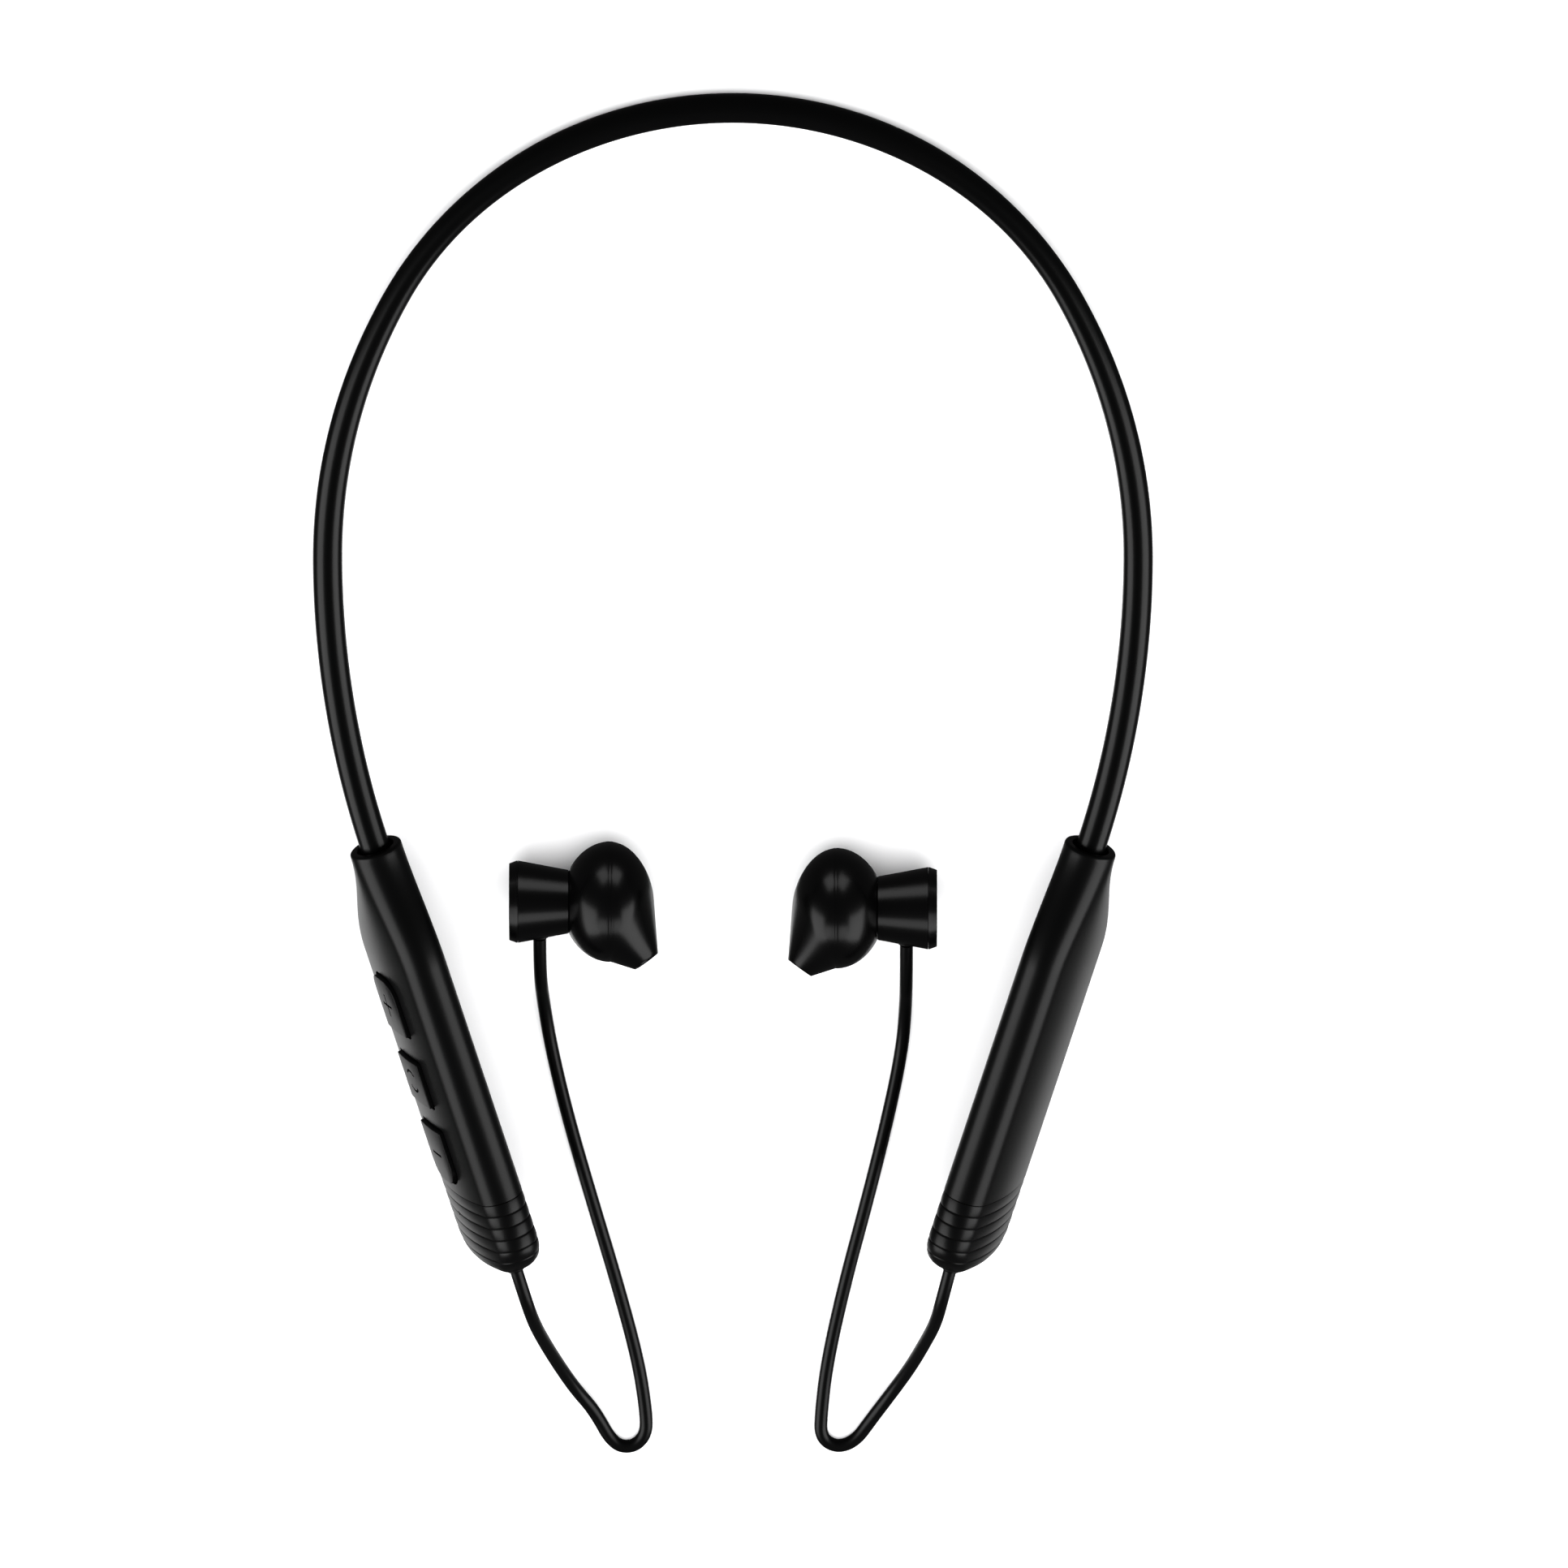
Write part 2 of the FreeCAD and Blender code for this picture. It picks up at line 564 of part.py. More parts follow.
def pod_shell(side, prefix):
    place = pod_place(side)
    body = body_for(prefix + "_pod_shell")
    rings = []
    start = mouth_oval(MOUTH)
    for step in range(NECK_STEPS + 1):
        share = step / NECK_STEPS
        grown = share * share * (3 - 2 * share)
        texts = ["(%s) * %.6f + (%s) * %.6f" % (full, grown, small, 1 - grown)
                 for full, small in zip(FULL, start)]
        ring = sketch_on(body, "XY_Plane", "%s_ring_%d" % (prefix, step),
                         "sizes.pod_blend * %.6f" % share)
        oval_in(ring, *texts, "-sizes.pod_offset * %.6f" % grown)
        rings.append(ring)
    loft(body, "PartDesign::AdditiveLoft", prefix + "_neck", rings)
    straight = sketch_on(body, "XY_Plane", prefix + "_straight", "sizes.pod_blend")
    oval_in(straight, *FULL, MIDDLE)
    pad(body, straight, prefix + "_barrel", "sizes.pod_seam - sizes.pod_blend")
    hollow = sketch_on(body, "XY_Plane", prefix + "_hollow", "sizes.pod_blend")
    oval_in(hollow, *shrunk("sizes.wall"), MIDDLE)
    pocket(body, hollow, prefix + "_cavity", "sizes.pod_seam - sizes.pod_blend", True)
    throat = sketch_on(body, "XY_Plane", prefix + "_throat", "sizes.pod_blend * 0.45")
    oval_in(throat, *mouth_oval("(sizes.web_bore + 1.4)"), "-sizes.pod_offset * 0.2")
    flare = sketch_on(body, "XY_Plane", prefix + "_flare", "sizes.pod_blend + 0.01")
    oval_in(flare, *shrunk("sizes.wall"), MIDDLE)
    loft(body, "PartDesign::SubtractiveLoft", prefix + "_funnel", [throat, flare], True)
    for name, diameter, depth in (
            ("web_bore", "sizes.web_bore", WEB_END),
            ("socket_bore", "sizes.sleeve_diameter + sizes.fit", "sizes.recess_depth + sizes.sleeve_seat"),
            ("recess", RECESS, "sizes.recess_depth")):
        ring = circle_in(sketch_on(body, "XY_Plane", prefix + "_" + name + "_ring"), diameter)
        pocket(body, ring, prefix + "_" + name, depth, True)
    if side < 0:
        for name, start, length, rounded in BUTTONS:
            window = sketch_on(body, "YZ_Plane", name + "_window", "-" + STUB_END)
            rounded_in(window, *button_outline(start, length, rounded, "sizes.button_gap"))
            pocket(body, window, name + "_opening")
    else:
        port = sketch_on(body, "XZ_Plane", "port_window", "sizes.pod_offset + sizes.pod_wide / 4")
        rounded_in(port, "-sizes.port_high / 2", "sizes.port_high / 2",
                   "%s - sizes.port_long / 2" % PORT_CENTRE, "%s + sizes.port_long / 2" % PORT_CENTRE,
                   "sizes.port_high * 0.45", "sizes.port_high * 0.45")
        pocket(body, port, "port_opening", None, True)
    finished(body, prefix + "_pod_shell", place)


def button_outline(start, length, rounded, grow):
    """Outline of a button made larger all round, as rounded_in takes it."""
    half = "(sizes.button_wide / 2 + %s)" % grow
    radii = ["%s + %s" % ("sizes.button_round" if big else "sizes.button_corner", grow)
             for big in rounded]
    return ("%s - %s" % (BUTTON_MIDDLE, half), "%s + %s" % (BUTTON_MIDDLE, half),
            "%s - %s" % (start, grow), "%s + %s + %s" % (start, length, grow),
            radii[0], radii[1])


def tip_cap(side, prefix):
    """Closed end of a pod: a spigot in the shell, a straight skirt and a dome."""
    place = pod_place(side)
    body = body_for(prefix + "_tip_cap")
    dome_start = "(sizes.pod_length - sizes.dome_length)"
    skirt = sketch_on(body, "XY_Plane", prefix + "_skirt_oval", "sizes.pod_seam + sizes.solder")
    oval_in(skirt, *FULL, MIDDLE)
    pad(body, skirt, prefix + "_skirt", "%s - sizes.pod_seam - sizes.solder" % dome_start)
    rings = []
    for step, depth in enumerate(DOME_STEPS):
        shape = math.sqrt(1 - depth ** 2)
        thick = "sizes.pod_thick / 2 * %.6f" % shape
        wide = "(sizes.pod_wide / 2 - sizes.dome_length * %.6f)" % (1 - shape)
        ring = sketch_on(body, "XY_Plane", "%s_dome_%d" % (prefix, step),
                         "%s + sizes.dome_length * %.6f" % (dome_start, depth))
        oval_in(ring, thick, wide, "sizes.pod_end_radius * %.6f" % shape, MIDDLE)
        rings.append(ring)
    loft(body, "PartDesign::AdditiveLoft", prefix + "_dome", rings)
    spigot = sketch_on(body, "XY_Plane", prefix + "_spigot_oval",
                       "sizes.pod_seam - sizes.spigot_length")
    oval_in(spigot, *shrunk("sizes.wall + sizes.fit"), MIDDLE)
    pad(body, spigot, prefix + "_spigot", "sizes.spigot_length + 0.5")
    hollow = sketch_on(body, "XY_Plane", prefix + "_cap_hollow",
                       "sizes.pod_seam - sizes.spigot_length")
    oval_in(hollow, *shrunk("sizes.wall * 1.8 + sizes.fit"), MIDDLE)
    pocket(body, hollow, prefix + "_cap_cavity",
           "%s - sizes.pod_seam + sizes.spigot_length + 1" % dome_start, True)
    # the spigot is open towards the outer face, where the last button's flange reaches
    notch = sketch_on(body, "XY_Plane", prefix + "_spigot_notch",
                      "sizes.pod_seam - sizes.spigot_length")
    half = "(sizes.button_wide / 2 + sizes.button_gap + sizes.button_lip + 0.4)"
    outer, inner = ("-sizes.pod_thick", "-1") if side < 0 else ("1", "sizes.pod_thick")
    box_in(notch, outer, inner, "%s - %s" % (BUTTON_MIDDLE, half), "%s + %s" % (BUTTON_MIDDLE, half))
    pocket(body, notch, prefix + "_flange_notch", "sizes.spigot_length - 0.2", True)
    hole = circle_in(sketch_on(body, "XY_Plane", prefix + "_cord_hole"),
                     "sizes.grommet_diameter + sizes.fit")
    pocket(body, hole, prefix + "_cord_opening", None, True)
    if side < 0:
        port = sketch_on(body, "YZ_Plane", "microphone_hole")
        circle_in(port, "sizes.microphone_bore", MICROPHONE_Y, MICROPHONE_Z)
        pocket(body, port, "microphone_opening")
    finished(body, prefix + "_tip_cap", place)


def grommet(label, place, low, high, bore="sizes.cord_diameter + 2 * sizes.fit"):
    """Rubber ring round a cord, along the local Z axis."""
    body = body_for(label)
    ring = sketch_on(body, "XY_Plane", label + "_ring", low)
    circle_in(ring, "sizes.grommet_diameter")
    circle_in(ring, bore)
    pad(body, ring, label + "_sleeve", "(%s) - (%s)" % (high, low))
    finished(body, label, place)


def wire_ferrule(side, prefix):
    """Steel ferrule round the wire and the cable behind the web of a pod."""
    body = body_for(prefix + "_wire_ferrule")
    ring = sketch_on(body, "XY_Plane", prefix + "_ferrule_ring", WEB_END + " + 0.3")
    inner = "2 * sizes.lumen_offset + sizes.cable_diameter + sizes.fit"
    circle_in(ring, inner + " + 1.2")
    circle_in(ring, inner)
    pad(body, ring, prefix + "_ferrule_body", "3")
    finished(body, prefix + "_wire_ferrule", pod_place(side))


def button(name, start, length, rounded):
    """Button cap with a lip behind the shell and a stub that presses its switch."""
    body = body_for(name)
    lip = sketch_on(body, "YZ_Plane", name + "_lip_outline", "-" + LIP_TOP)
    rounded_in(lip, *button_outline(start, length, rounded, "(sizes.button_gap + sizes.button_lip)"))
    pad(body, lip, name + "_lip", "sizes.lip_thick")
    face = sketch_on(body, "YZ_Plane", name + "_face_outline", "-" + LIP_TOP)
    rounded_in(face, *button_outline(start, length, rounded, "0"))
    pad(body, face, name + "_cap", "sizes.pod_thick", True)
    stub = sketch_on(body, "YZ_Plane", name + "_stub_outline", "-%s + sizes.lip_thick" % LIP_TOP)
    circle_in(stub, "sizes.stub_diameter", BUTTON_MIDDLE, "%s + %s / 2" % (start, length))
    pad(body, stub, name + "_stub", "sizes.stub_length")
    # the face is trimmed to the shell's own curve, raised by button_proud
    trim = sketch_on(body, "XY_Plane", name + "_trim")
    reach = "(sizes.pod_wide / 2 - sizes.pod_end_radius)"
    half = "(sizes.pod_thick / 2)"
    big = "((%s^2 + %s^2 - sizes.pod_end_radius^2) / (2 * (%s - sizes.pod_end_radius)))" % (
        half, reach, half)
    centre_x = "%s - %s" % (big, half)
    circle_in(trim, "2 * (%s + sizes.button_proud)" % big, centre_x, MIDDLE)
    circle_in(trim, "2 * (%s + sizes.button_proud + sizes.pod_thick)" % big, centre_x, MIDDLE)
    pocket(body, trim, name + "_curve", None, True)
    mark_floor = "-(sizes.pod_thick / 2 + sizes.button_proud - sizes.mark_depth)"
    middle = "(%s + %s / 2)" % (start, length)
    half_line, half_mark = "sizes.mark_line / 2", "sizes.mark_length / 2"
    if name == "power_button":
        turns = (("near", "sizes.ring_break", "180 - sizes.ring_break"),
                 ("far", "180 + sizes.ring_break", "360 - sizes.ring_break"))
        for part_name, begin, end in turns:
            slot = sketch_on(body, "YZ_Plane", name + "_slot_" + part_name, mark_floor)
            arc_slot_in(slot, BUTTON_MIDDLE, middle, begin, end)
            pocket(body, slot, name + "_mark_" + part_name)
    else:
        bar = sketch_on(body, "YZ_Plane", name + "_bar", mark_floor)
        box_in(bar, "%s - %s" % (BUTTON_MIDDLE, half_mark), "%s + %s" % (BUTTON_MIDDLE, half_mark),
               "%s - %s" % (middle, half_line), "%s + %s" % (middle, half_line))
        pocket(body, bar, name + "_bar_cut")
    if name == "plus_button":
        cross = sketch_on(body, "YZ_Plane", name + "_cross", mark_floor)
        box_in(cross, "%s - %s" % (BUTTON_MIDDLE, half_line), "%s + %s" % (BUTTON_MIDDLE, half_line),
               "%s - %s" % (middle, half_mark), "%s + %s" % (middle, half_mark))
        pocket(body, cross, name + "_cross_cut")
    finished(body, name, pod_place(-1))


def control_electronics():
    """Board, switches, radio, microphone and lamp of the left pod, in the pod's frame."""
    place = pod_place(-1)
    body = body_for("main_board")
    outline = sketch_on(body, "YZ_Plane", "main_board_outline", "-" + BOARD_TOP)
    low_y = "-sizes.pod_offset - sizes.board_wide / 2"
    high_y = "-sizes.pod_offset + sizes.board_wide / 2"
    rounded_in(outline, low_y, high_y, "sizes.pod_blend + 1", "sizes.pod_seam + 6", "0.8", "2.5")
    pad(body, outline, "main_board_sheet", "sizes.board_thick")
    finished(body, "main_board", place)

    switches = []
    for name, start, length, _ in BUTTONS:
        centre = value_of("%s + %s / 2" % (start, length))
        front, middle = value_of("-" + BOARD_TOP), value_of(BUTTON_MIDDLE)
        half = size("switch_wide") / 2
        case = doc.addObject("Part::Box", name + "_switch_case")
        case.setExpression("Length", "sizes.switch_case")
        case.setExpression("Width", "sizes.switch_wide")
        case.setExpression("Height", "sizes.switch_wide")
        case.Placement = FreeCAD.Placement(
            vector(front - size("switch_case"), middle - half, centre - half), FreeCAD.Rotation())
        plunger = rod(name + "_switch_plunger", "sizes.plunger_diameter",
                      vector(front - size("switch_case"), middle, centre), vector(-1, 0, 0),
                      "sizes.plunger")
        switches.append(fused(name + "_switch", [case, plunger]))
    joined("tact_switches", switches, place)

    body = body_for("switch_membrane")
    outline = sketch_on(body, "YZ_Plane", "membrane_outline", "-" + MEMBRANE_LOW)
    rounded_in(outline, "%s - 3.4" % BUTTON_MIDDLE, "%s + 3.4" % BUTTON_MIDDLE,
               "sizes.plus_start + 0.5", "sizes.minus_start + sizes.plus_length - 0.5", "1", "1")
    pad(body, outline, "membrane_sheet", "sizes.membrane_thick", True)
    finished(body, "switch_membrane", place)

    back, front = "sizes.board_thick - %s" % BOARD_TOP, "-%s" % BOARD_TOP
    block("bluetooth_module", place, [
        ("%s + sizes.solder" % back, "%s + sizes.module_thick" % back),
        ("%s - 1" % MIDDLE, "%s + 7" % MIDDLE),
        ("sizes.pod_blend + 6", "sizes.pod_blend + 17")])
    block("power_chip", place, [
        ("%s + sizes.solder" % back, "%s + sizes.chip_thick" % back),
        ("%s - 6" % MIDDLE, "%s - 2" % MIDDLE),
        ("sizes.pod_blend + 22", "sizes.pod_blend + 26")])
    block("microphone", place, [
        ("%s - 1" % front, "%s - sizes.solder" % front),
        ("%s - 1.4" % MICROPHONE_Y, "%s + 1.4" % MICROPHONE_Y),
        ("%s - 1" % MICROPHONE_Z, "%s + 0.9" % MICROPHONE_Z)])
    block("status_lamp", place, [
        ("%s - 0.6" % front, "%s - sizes.solder" % front),
        ("%s + 5" % BUTTON_MIDDLE, "%s + 6.6" % BUTTON_MIDDLE),
        ("sizes.power_start + 3", "sizes.power_start + 3.8")])
    screws = []
    for name, along in (("near", "sizes.pod_blend + 3"), ("far", "sizes.pod_seam - 2")):
        spot = vector(value_of(front) - size("solder"), value_of(MIDDLE) + 6.5, value_of(along))
        screws.append(rod("board_screw_" + name, "2.2", spot, vector(-1, 0, 0), "0.6"))
    joined("board_screws", screws, place)


def power_electronics():
    """Cell, charging board, foam and charging socket of the right pod."""
    place = pod_place(1)
    cell_low, cell_high = "sizes.pod_blend + 0.6", "sizes.pod_seam - 14.2"
    cell_half = "(%s - sizes.cell_clear)" % cavity_half("sizes.cell_wide / 2")
    foam_out = "(%s + sizes.solder + sizes.foam_thick)" % cell_half
    body = body_for("battery_cell")
    outline = sketch_on(body, "YZ_Plane", "battery_outline", "-" + cell_half)
    rounded_in(outline, "%s - sizes.cell_wide / 2" % MIDDLE, "%s + sizes.cell_wide / 2" % MIDDLE,
               cell_low, cell_high, "0.8", "0.8")
    pad(body, outline, "battery_pouch", "2 * " + cell_half)
    finished(body, "battery_cell", place)
    pads = []
    for name, low_x in (("outer", foam_out + " - sizes.foam_thick"), ("inner", "-" + foam_out)):
        foam = doc.addObject("Part::Box", "battery_foam_" + name)
        foam.setExpression("Length", "sizes.foam_thick")
        foam.setExpression("Width", "sizes.foam_wide")
        foam.setExpression("Height", "%s - (%s) - 5" % (cell_high, cell_low))
        foam.Placement = FreeCAD.Placement(
            vector(value_of(low_x), value_of("%s - sizes.foam_wide / 2" % MIDDLE),
                   value_of(cell_low + " + 2.5")), FreeCAD.Rotation())
        pads.append(foam)
    joined("battery_foam", pads, place)

    body = body_for("charging_board")
    board_low, board_high = "sizes.pod_seam - 13.9", "sizes.pod_seam + 5"
    outline = sketch_on(body, "YZ_Plane", "charging_board_outline", "-sizes.board_thick / 2")
    behind_socket = "(%s + sizes.socket_inset + sizes.socket_deep + 0.6)" % POD_EDGE
    beside_socket = "%s + sizes.socket_long / 2 + 0.4" % PORT_CENTRE
    far_side = "%s + 8" % MIDDLE
    outline_in(outline, [
        (behind_socket, board_low), (far_side, board_low), (far_side, board_high),
        ("%s + 4" % POD_EDGE, board_high), ("%s + 4" % POD_EDGE, beside_socket),
        (behind_socket, beside_socket)])
    pad(body, outline, "charging_board_sheet", "sizes.board_thick")
    finished(body, "charging_board", place)

    body = body_for("charging_socket")
    level = "-%s - sizes.socket_inset" % POD_EDGE
    for name, inset in (("shell", "0"), ("cavity", "sizes.socket_metal")):
        half_high = "(sizes.socket_high / 2 - %s)" % inset
        half_long = "(sizes.socket_long / 2 - %s)" % inset
        corner = "(%s * 0.85)" % half_high
        face = sketch_on(body, "XZ_Plane", "socket_%s_face" % name, level)
        rounded_in(face, "-" + half_high, half_high, "%s - %s" % (PORT_CENTRE, half_long),
                   "%s + %s" % (PORT_CENTRE, half_long), corner, corner)
        if name == "shell":
            pad(body, face, "socket_shell", "sizes.socket_deep", True)
        else:
            pocket(body, face, "socket_cavity", "sizes.socket_deep - 1")
    finished(body, "charging_socket", place)
    back = "(%s + sizes.socket_inset + sizes.socket_deep - 1)" % POD_EDGE
    block("socket_tongue", place, [
        ("-0.35", "0.35"), ("%s - 5.3" % back, "%s - sizes.solder" % back),
        ("%s - 3.3" % PORT_CENTRE, "%s + 3.3" % PORT_CENTRE)])


# ---------------------------------------------------------------- earbuds
SEAM = "(sizes.cap_thick + sizes.cone_length + sizes.rear_depth)"
CONE_END = "(sizes.cap_thick + sizes.cone_length)"
CONE_START = "(sizes.cap_thick + sizes.solder)"
REAR_SWELL = "(sizes.rear_depth / sqrt(1 - (sizes.neck_diameter / sizes.bud_diameter)^2))"
CONE_AT_CORD = ("(sizes.cap_diameter / 2 - (sizes.cap_diameter - sizes.neck_diameter) / 2"
                " * (sizes.cord_entry - sizes.cap_thick) / sizes.cone_length)")
# side, place of the back face across, place of the bud's axis, roll of the nozzle
EARBUDS = [("left", -1, -33.7, -36.2, 32.0), ("right", 1, 30.7, -37.3, 24.0)]


def half_ball(name, depth, radius, front):
    """Half of an oval of revolution on the seam plane."""
    item = doc.addObject("Part::Ellipsoid", name)
    item.setExpression("Radius1", depth)
    item.setExpression("Radius2", radius)
    item.setExpression("Radius3", radius)
    item.Angle1 = 0 if front else -90
    item.Angle2 = 90 if front else 0
    item.Placement = FreeCAD.Placement(vector(0, 0, value_of(SEAM)), FreeCAD.Rotation())
    return item


def nozzle_funnel(name, depth, radius, end_diameter, spare):
    """Loft from the oval's flank to the round end of the nozzle."""
    swell, reach = value_of(depth), value_of(radius)
    seam = value_of(SEAM)
    across = vector(0, 1, 0)
    flank_up = vector(-reach, 0, swell).normalize()
    flank = doc.addObject("Part::Ellipse", name + "_flank")
    flank.MajorRadius = reach * math.sqrt(0.5)
    flank.MinorRadius = math.hypot(reach, swell) / 2
    flank.Placement = frame_of(across, flank_up, across.cross(flank_up),
                               vector(reach / 2, 0, seam + swell / 2))
    angle = math.radians(size("nozzle_angle"))
    axis = vector(math.sin(angle), 0, math.cos(angle))
    mouth = doc.addObject("Part::Circle", name + "_mouth")
    mouth.setExpression("Radius", "(%s) / 2" % end_diameter)
    mouth.Placement = frame_of(
        across, axis.cross(across), axis,
        vector(size("nozzle_out"), 0, seam + size("nozzle_ahead")) + axis * spare)
    funnel = doc.addObject("Part::Loft", name)
    funnel.Sections = [flank, mouth]
    funnel.Solid = True
    funnel.Ruled = True
    return funnel


def fused(name, items):
    item = doc.addObject("Part::MultiFuse", name)
    item.Shapes = items
    return item


def earbud(prefix, side, back_x, axis_y, roll):
    back_place = bud_place(side, back_x, axis_y, 0.0)
    front_place = bud_place(side, back_x, axis_y, roll)
    whole, thin = "sizes.bud_diameter / 2", "sizes.bud_diameter / 2 - sizes.bud_wall"

    body = body_for(prefix + "_magnet_cap")
    turned(body, prefix + "_cap_disc", [
        ("0", "0"), ("sizes.cap_face / 2", "0"),
        ("sizes.cap_diameter / 2", "sizes.cap_thick"), ("0", "sizes.cap_thick")])
    finished(body, prefix + "_magnet_cap", back_place)

    body = body_for(prefix + "_cap_magnet")
    magnet_low, magnet_high = CONE_START + " + sizes.solder", CONE_START + " + 2"
    magnet_rim = "sizes.cap_diameter / 2 - 2"
    turned(body, prefix + "_magnet_disc", [
        ("0", magnet_low), (magnet_rim, magnet_low), (magnet_rim, magnet_high), ("0", magnet_high)])
    finished(body, prefix + "_cap_magnet", back_place)

    body = body_for(prefix + "_rear_cone")
    floor = CONE_END + " - 1.2"
    turned(body, prefix + "_cone", [
        ("sizes.cap_diameter / 2 - sizes.bud_wall", CONE_START), ("sizes.cap_diameter / 2", CONE_START),
        ("sizes.neck_diameter / 2", CONE_END), ("sizes.wire_hole / 2", CONE_END),
        ("sizes.wire_hole / 2", floor), ("sizes.neck_diameter / 2 - sizes.bud_wall", floor)])
    hole = sketch_on(body, "YZ_Plane", prefix + "_cord_hole_bud")
    circle_in(hole, "sizes.grommet_diameter + sizes.fit", "0", "sizes.cord_entry")
    pocket(body, hole, prefix + "_cord_bore", None, True)
    finished(body, prefix + "_rear_cone", back_place)

    inward = FreeCAD.Placement(vector(0, 0, size("cord_entry")),
                               FreeCAD.Rotation(vector(0, 1, 0), 90))
    grommet(prefix + "_bud_grommet", back_place.multiply(inward),
            CONE_AT_CORD + " - sizes.bud_wall - 0.2", CONE_AT_CORD + " + sizes.grommet_proud")

    outside = half_ball(prefix + "_rear_outside", REAR_SWELL, whole, False)
    inside = half_ball(prefix + "_rear_inside", REAR_SWELL + " - sizes.bud_wall", thin, False)
    shell = cut(prefix + "_rear_ball", outside, inside)
    neck_end, axis = value_of(CONE_END) + size("solder"), vector(0, 0, 1)
    below = rod(prefix + "_rear_trim", "4 * sizes.bud_diameter",
                vector(0, 0, neck_end - size("bud_diameter")), axis, "sizes.bud_diameter")
    bore = rod(prefix + "_rear_bore", "sizes.wire_hole", vector(0, 0, neck_end - 1), axis, "3")
    shell = cut(prefix + "_rear_shell", shell, fused(prefix + "_rear_tools", [below, bore]))
    finished(shell, prefix + "_rear_shell", back_place)

    outside = fused(prefix + "_front_outside", [
        half_ball(prefix + "_front_ball", "sizes.front_swell", whole, True),
        nozzle_funnel(prefix + "_front_nozzle", "sizes.front_swell", whole,
                      "sizes.nozzle_diameter", 0)])
    hollow = half_ball(prefix + "_front_hollow", "sizes.front_swell - sizes.bud_wall", thin, True)
    bore = nozzle_funnel(prefix + "_front_bore", "sizes.front_swell - sizes.bud_wall", thin,
                         "sizes.nozzle_bore", size("solder"))
    shell = cut(prefix + "_front_shell", cut(prefix + "_front_cup", outside, hollow), bore)
    finished(shell, prefix + "_front_shell", front_place)

    angle = math.radians(size("nozzle_angle"))
    axis = vector(math.sin(angle), 0, math.cos(angle))
    end = vector(size("nozzle_out"), 0, value_of(SEAM) + size("nozzle_ahead"))
    mesh = rod(prefix + "_nozzle_mesh", "sizes.nozzle_bore", end - axis * 0.3, axis, "0.2")
    finished(mesh, prefix + "_nozzle_mesh", front_place.multiply(mesh.Placement))

    basket = SEAM + " - 2.6"
    rim = "sizes.driver_diameter / 2"
    flange = "%s - sizes.fit - 0.05" % thin
    body = body_for(prefix + "_driver_frame")
    turned(body, prefix + "_basket", [
        ("1", basket), (rim, basket), (rim, SEAM + " - 0.3"), (flange, SEAM + " - 0.3"),
        (flange, SEAM + " + 0.3"), (rim, SEAM + " + 0.3"), (rim, basket + " + 3.4"),
        (rim + " - 0.5", basket + " + 3.4"), (rim + " - 0.5", basket + " + 0.5"),
        ("1", basket + " + 0.5")])
    finished(body, prefix + "_driver_frame", back_place)
    for name, inner, outer, low, high in (
            ("driver_magnet", "0", rim + " - 2.6", 0.55, 2.0),
            ("voice_coil", rim + " - 2.4", rim + " - 2", 1.2, 2.9),
            ("diaphragm", "0", rim + " - 0.7", 3.0, 3.15)):
        body = body_for("%s_%s" % (prefix, name))
        bottom, top = "%s + %.2f" % (basket, low), "%s + %.2f" % (basket, high)
        turned(body, "%s_%s_disc" % (prefix, name),
               [(inner, bottom), (outer, bottom), (outer, top), (inner, top)])
        finished(body, "%s_%s" % (prefix, name), back_place)


# ---------------------------------------------------------------- cords
# Each cord leaves a pod's tip, sags to the table, turns back in a tight loop and rises
# into its earbud.  The points are the corners of its route, chosen by hand; they move
# with the pod's tip, all but its height up to the loop, and ever less on the way back.
RETURN_POINTS = 8
FALL_POINTS = 5
LEFT_ROUTE = [
    (-32.7, -93.8, 18.2), (-31.4, -98.4, 18.3), (-30.1, -104.2, 15.2), (-28.4, -110.2, 10.4),
    (-26.2, -116.5, 5.8), (-23.8, -122.0, 2.6), (-21.0, -126.3, 1.15), (-18.2, -132.1, 1.05),
    (-15.2, -132.6, 1.05), (-13.2, -130.4, 1.05), (-13.2, -126.6, 1.05), (-14.4, -117.8, 1.05),
    (-17.6, -104.5, 1.05), (-21.5, -90.0, 1.05), (-25.1, -76.0, 1.05), (-27.5, -64.5, 1.1),
    (-28.6, -56.0, 3.2), (-29.1, -49.0, 7.6), (-29.1, -42.2, 9.1)]
RIGHT_ROUTE = [
    (32.7, -93.8, 18.2), (31.6, -98.4, 18.3), (30.6, -104.2, 15.2), (28.9, -110.2, 10.4),
    (26.8, -116.5, 5.8), (24.3, -122.0, 2.6), (21.0, -127.6, 1.15), (18.5, -131.5, 1.05),
    (15.6, -132.6, 1.05), (13.2, -130.85, 1.05), (13.3, -126.6, 1.05), (14.2, -118.0, 1.05),
    (16.9, -104.5, 1.05), (20.4, -90.0, 1.05), (23.5, -76.0, 1.05), (25.5, -65.0, 1.1),
    (26.0, -57.0, 3.2), (26.1, -50.0, 7.6), (26.1, -43.3, 9.1)]


def route_from_tip(side, route):
    """Points of a route after its pod's tip has moved, to a tenth of a millimetre."""
    tip = pod_place(side).multVec(vector(0, 0, size("pod_length") + size("cord_start")))
    shift = [round(now - then, 1) for now, then in zip(tip, route[0])]
    last = len(route) - 1
    points = []
    for number, (x, y, z) in enumerate(route):
        share = min(1.0, (last - number) / RETURN_POINTS)
        fall = max(0.0, 1 - number / FALL_POINTS)
        points.append(vector(x + shift[0] * share, y + shift[1] * share, z + shift[2] * fall))
    return points


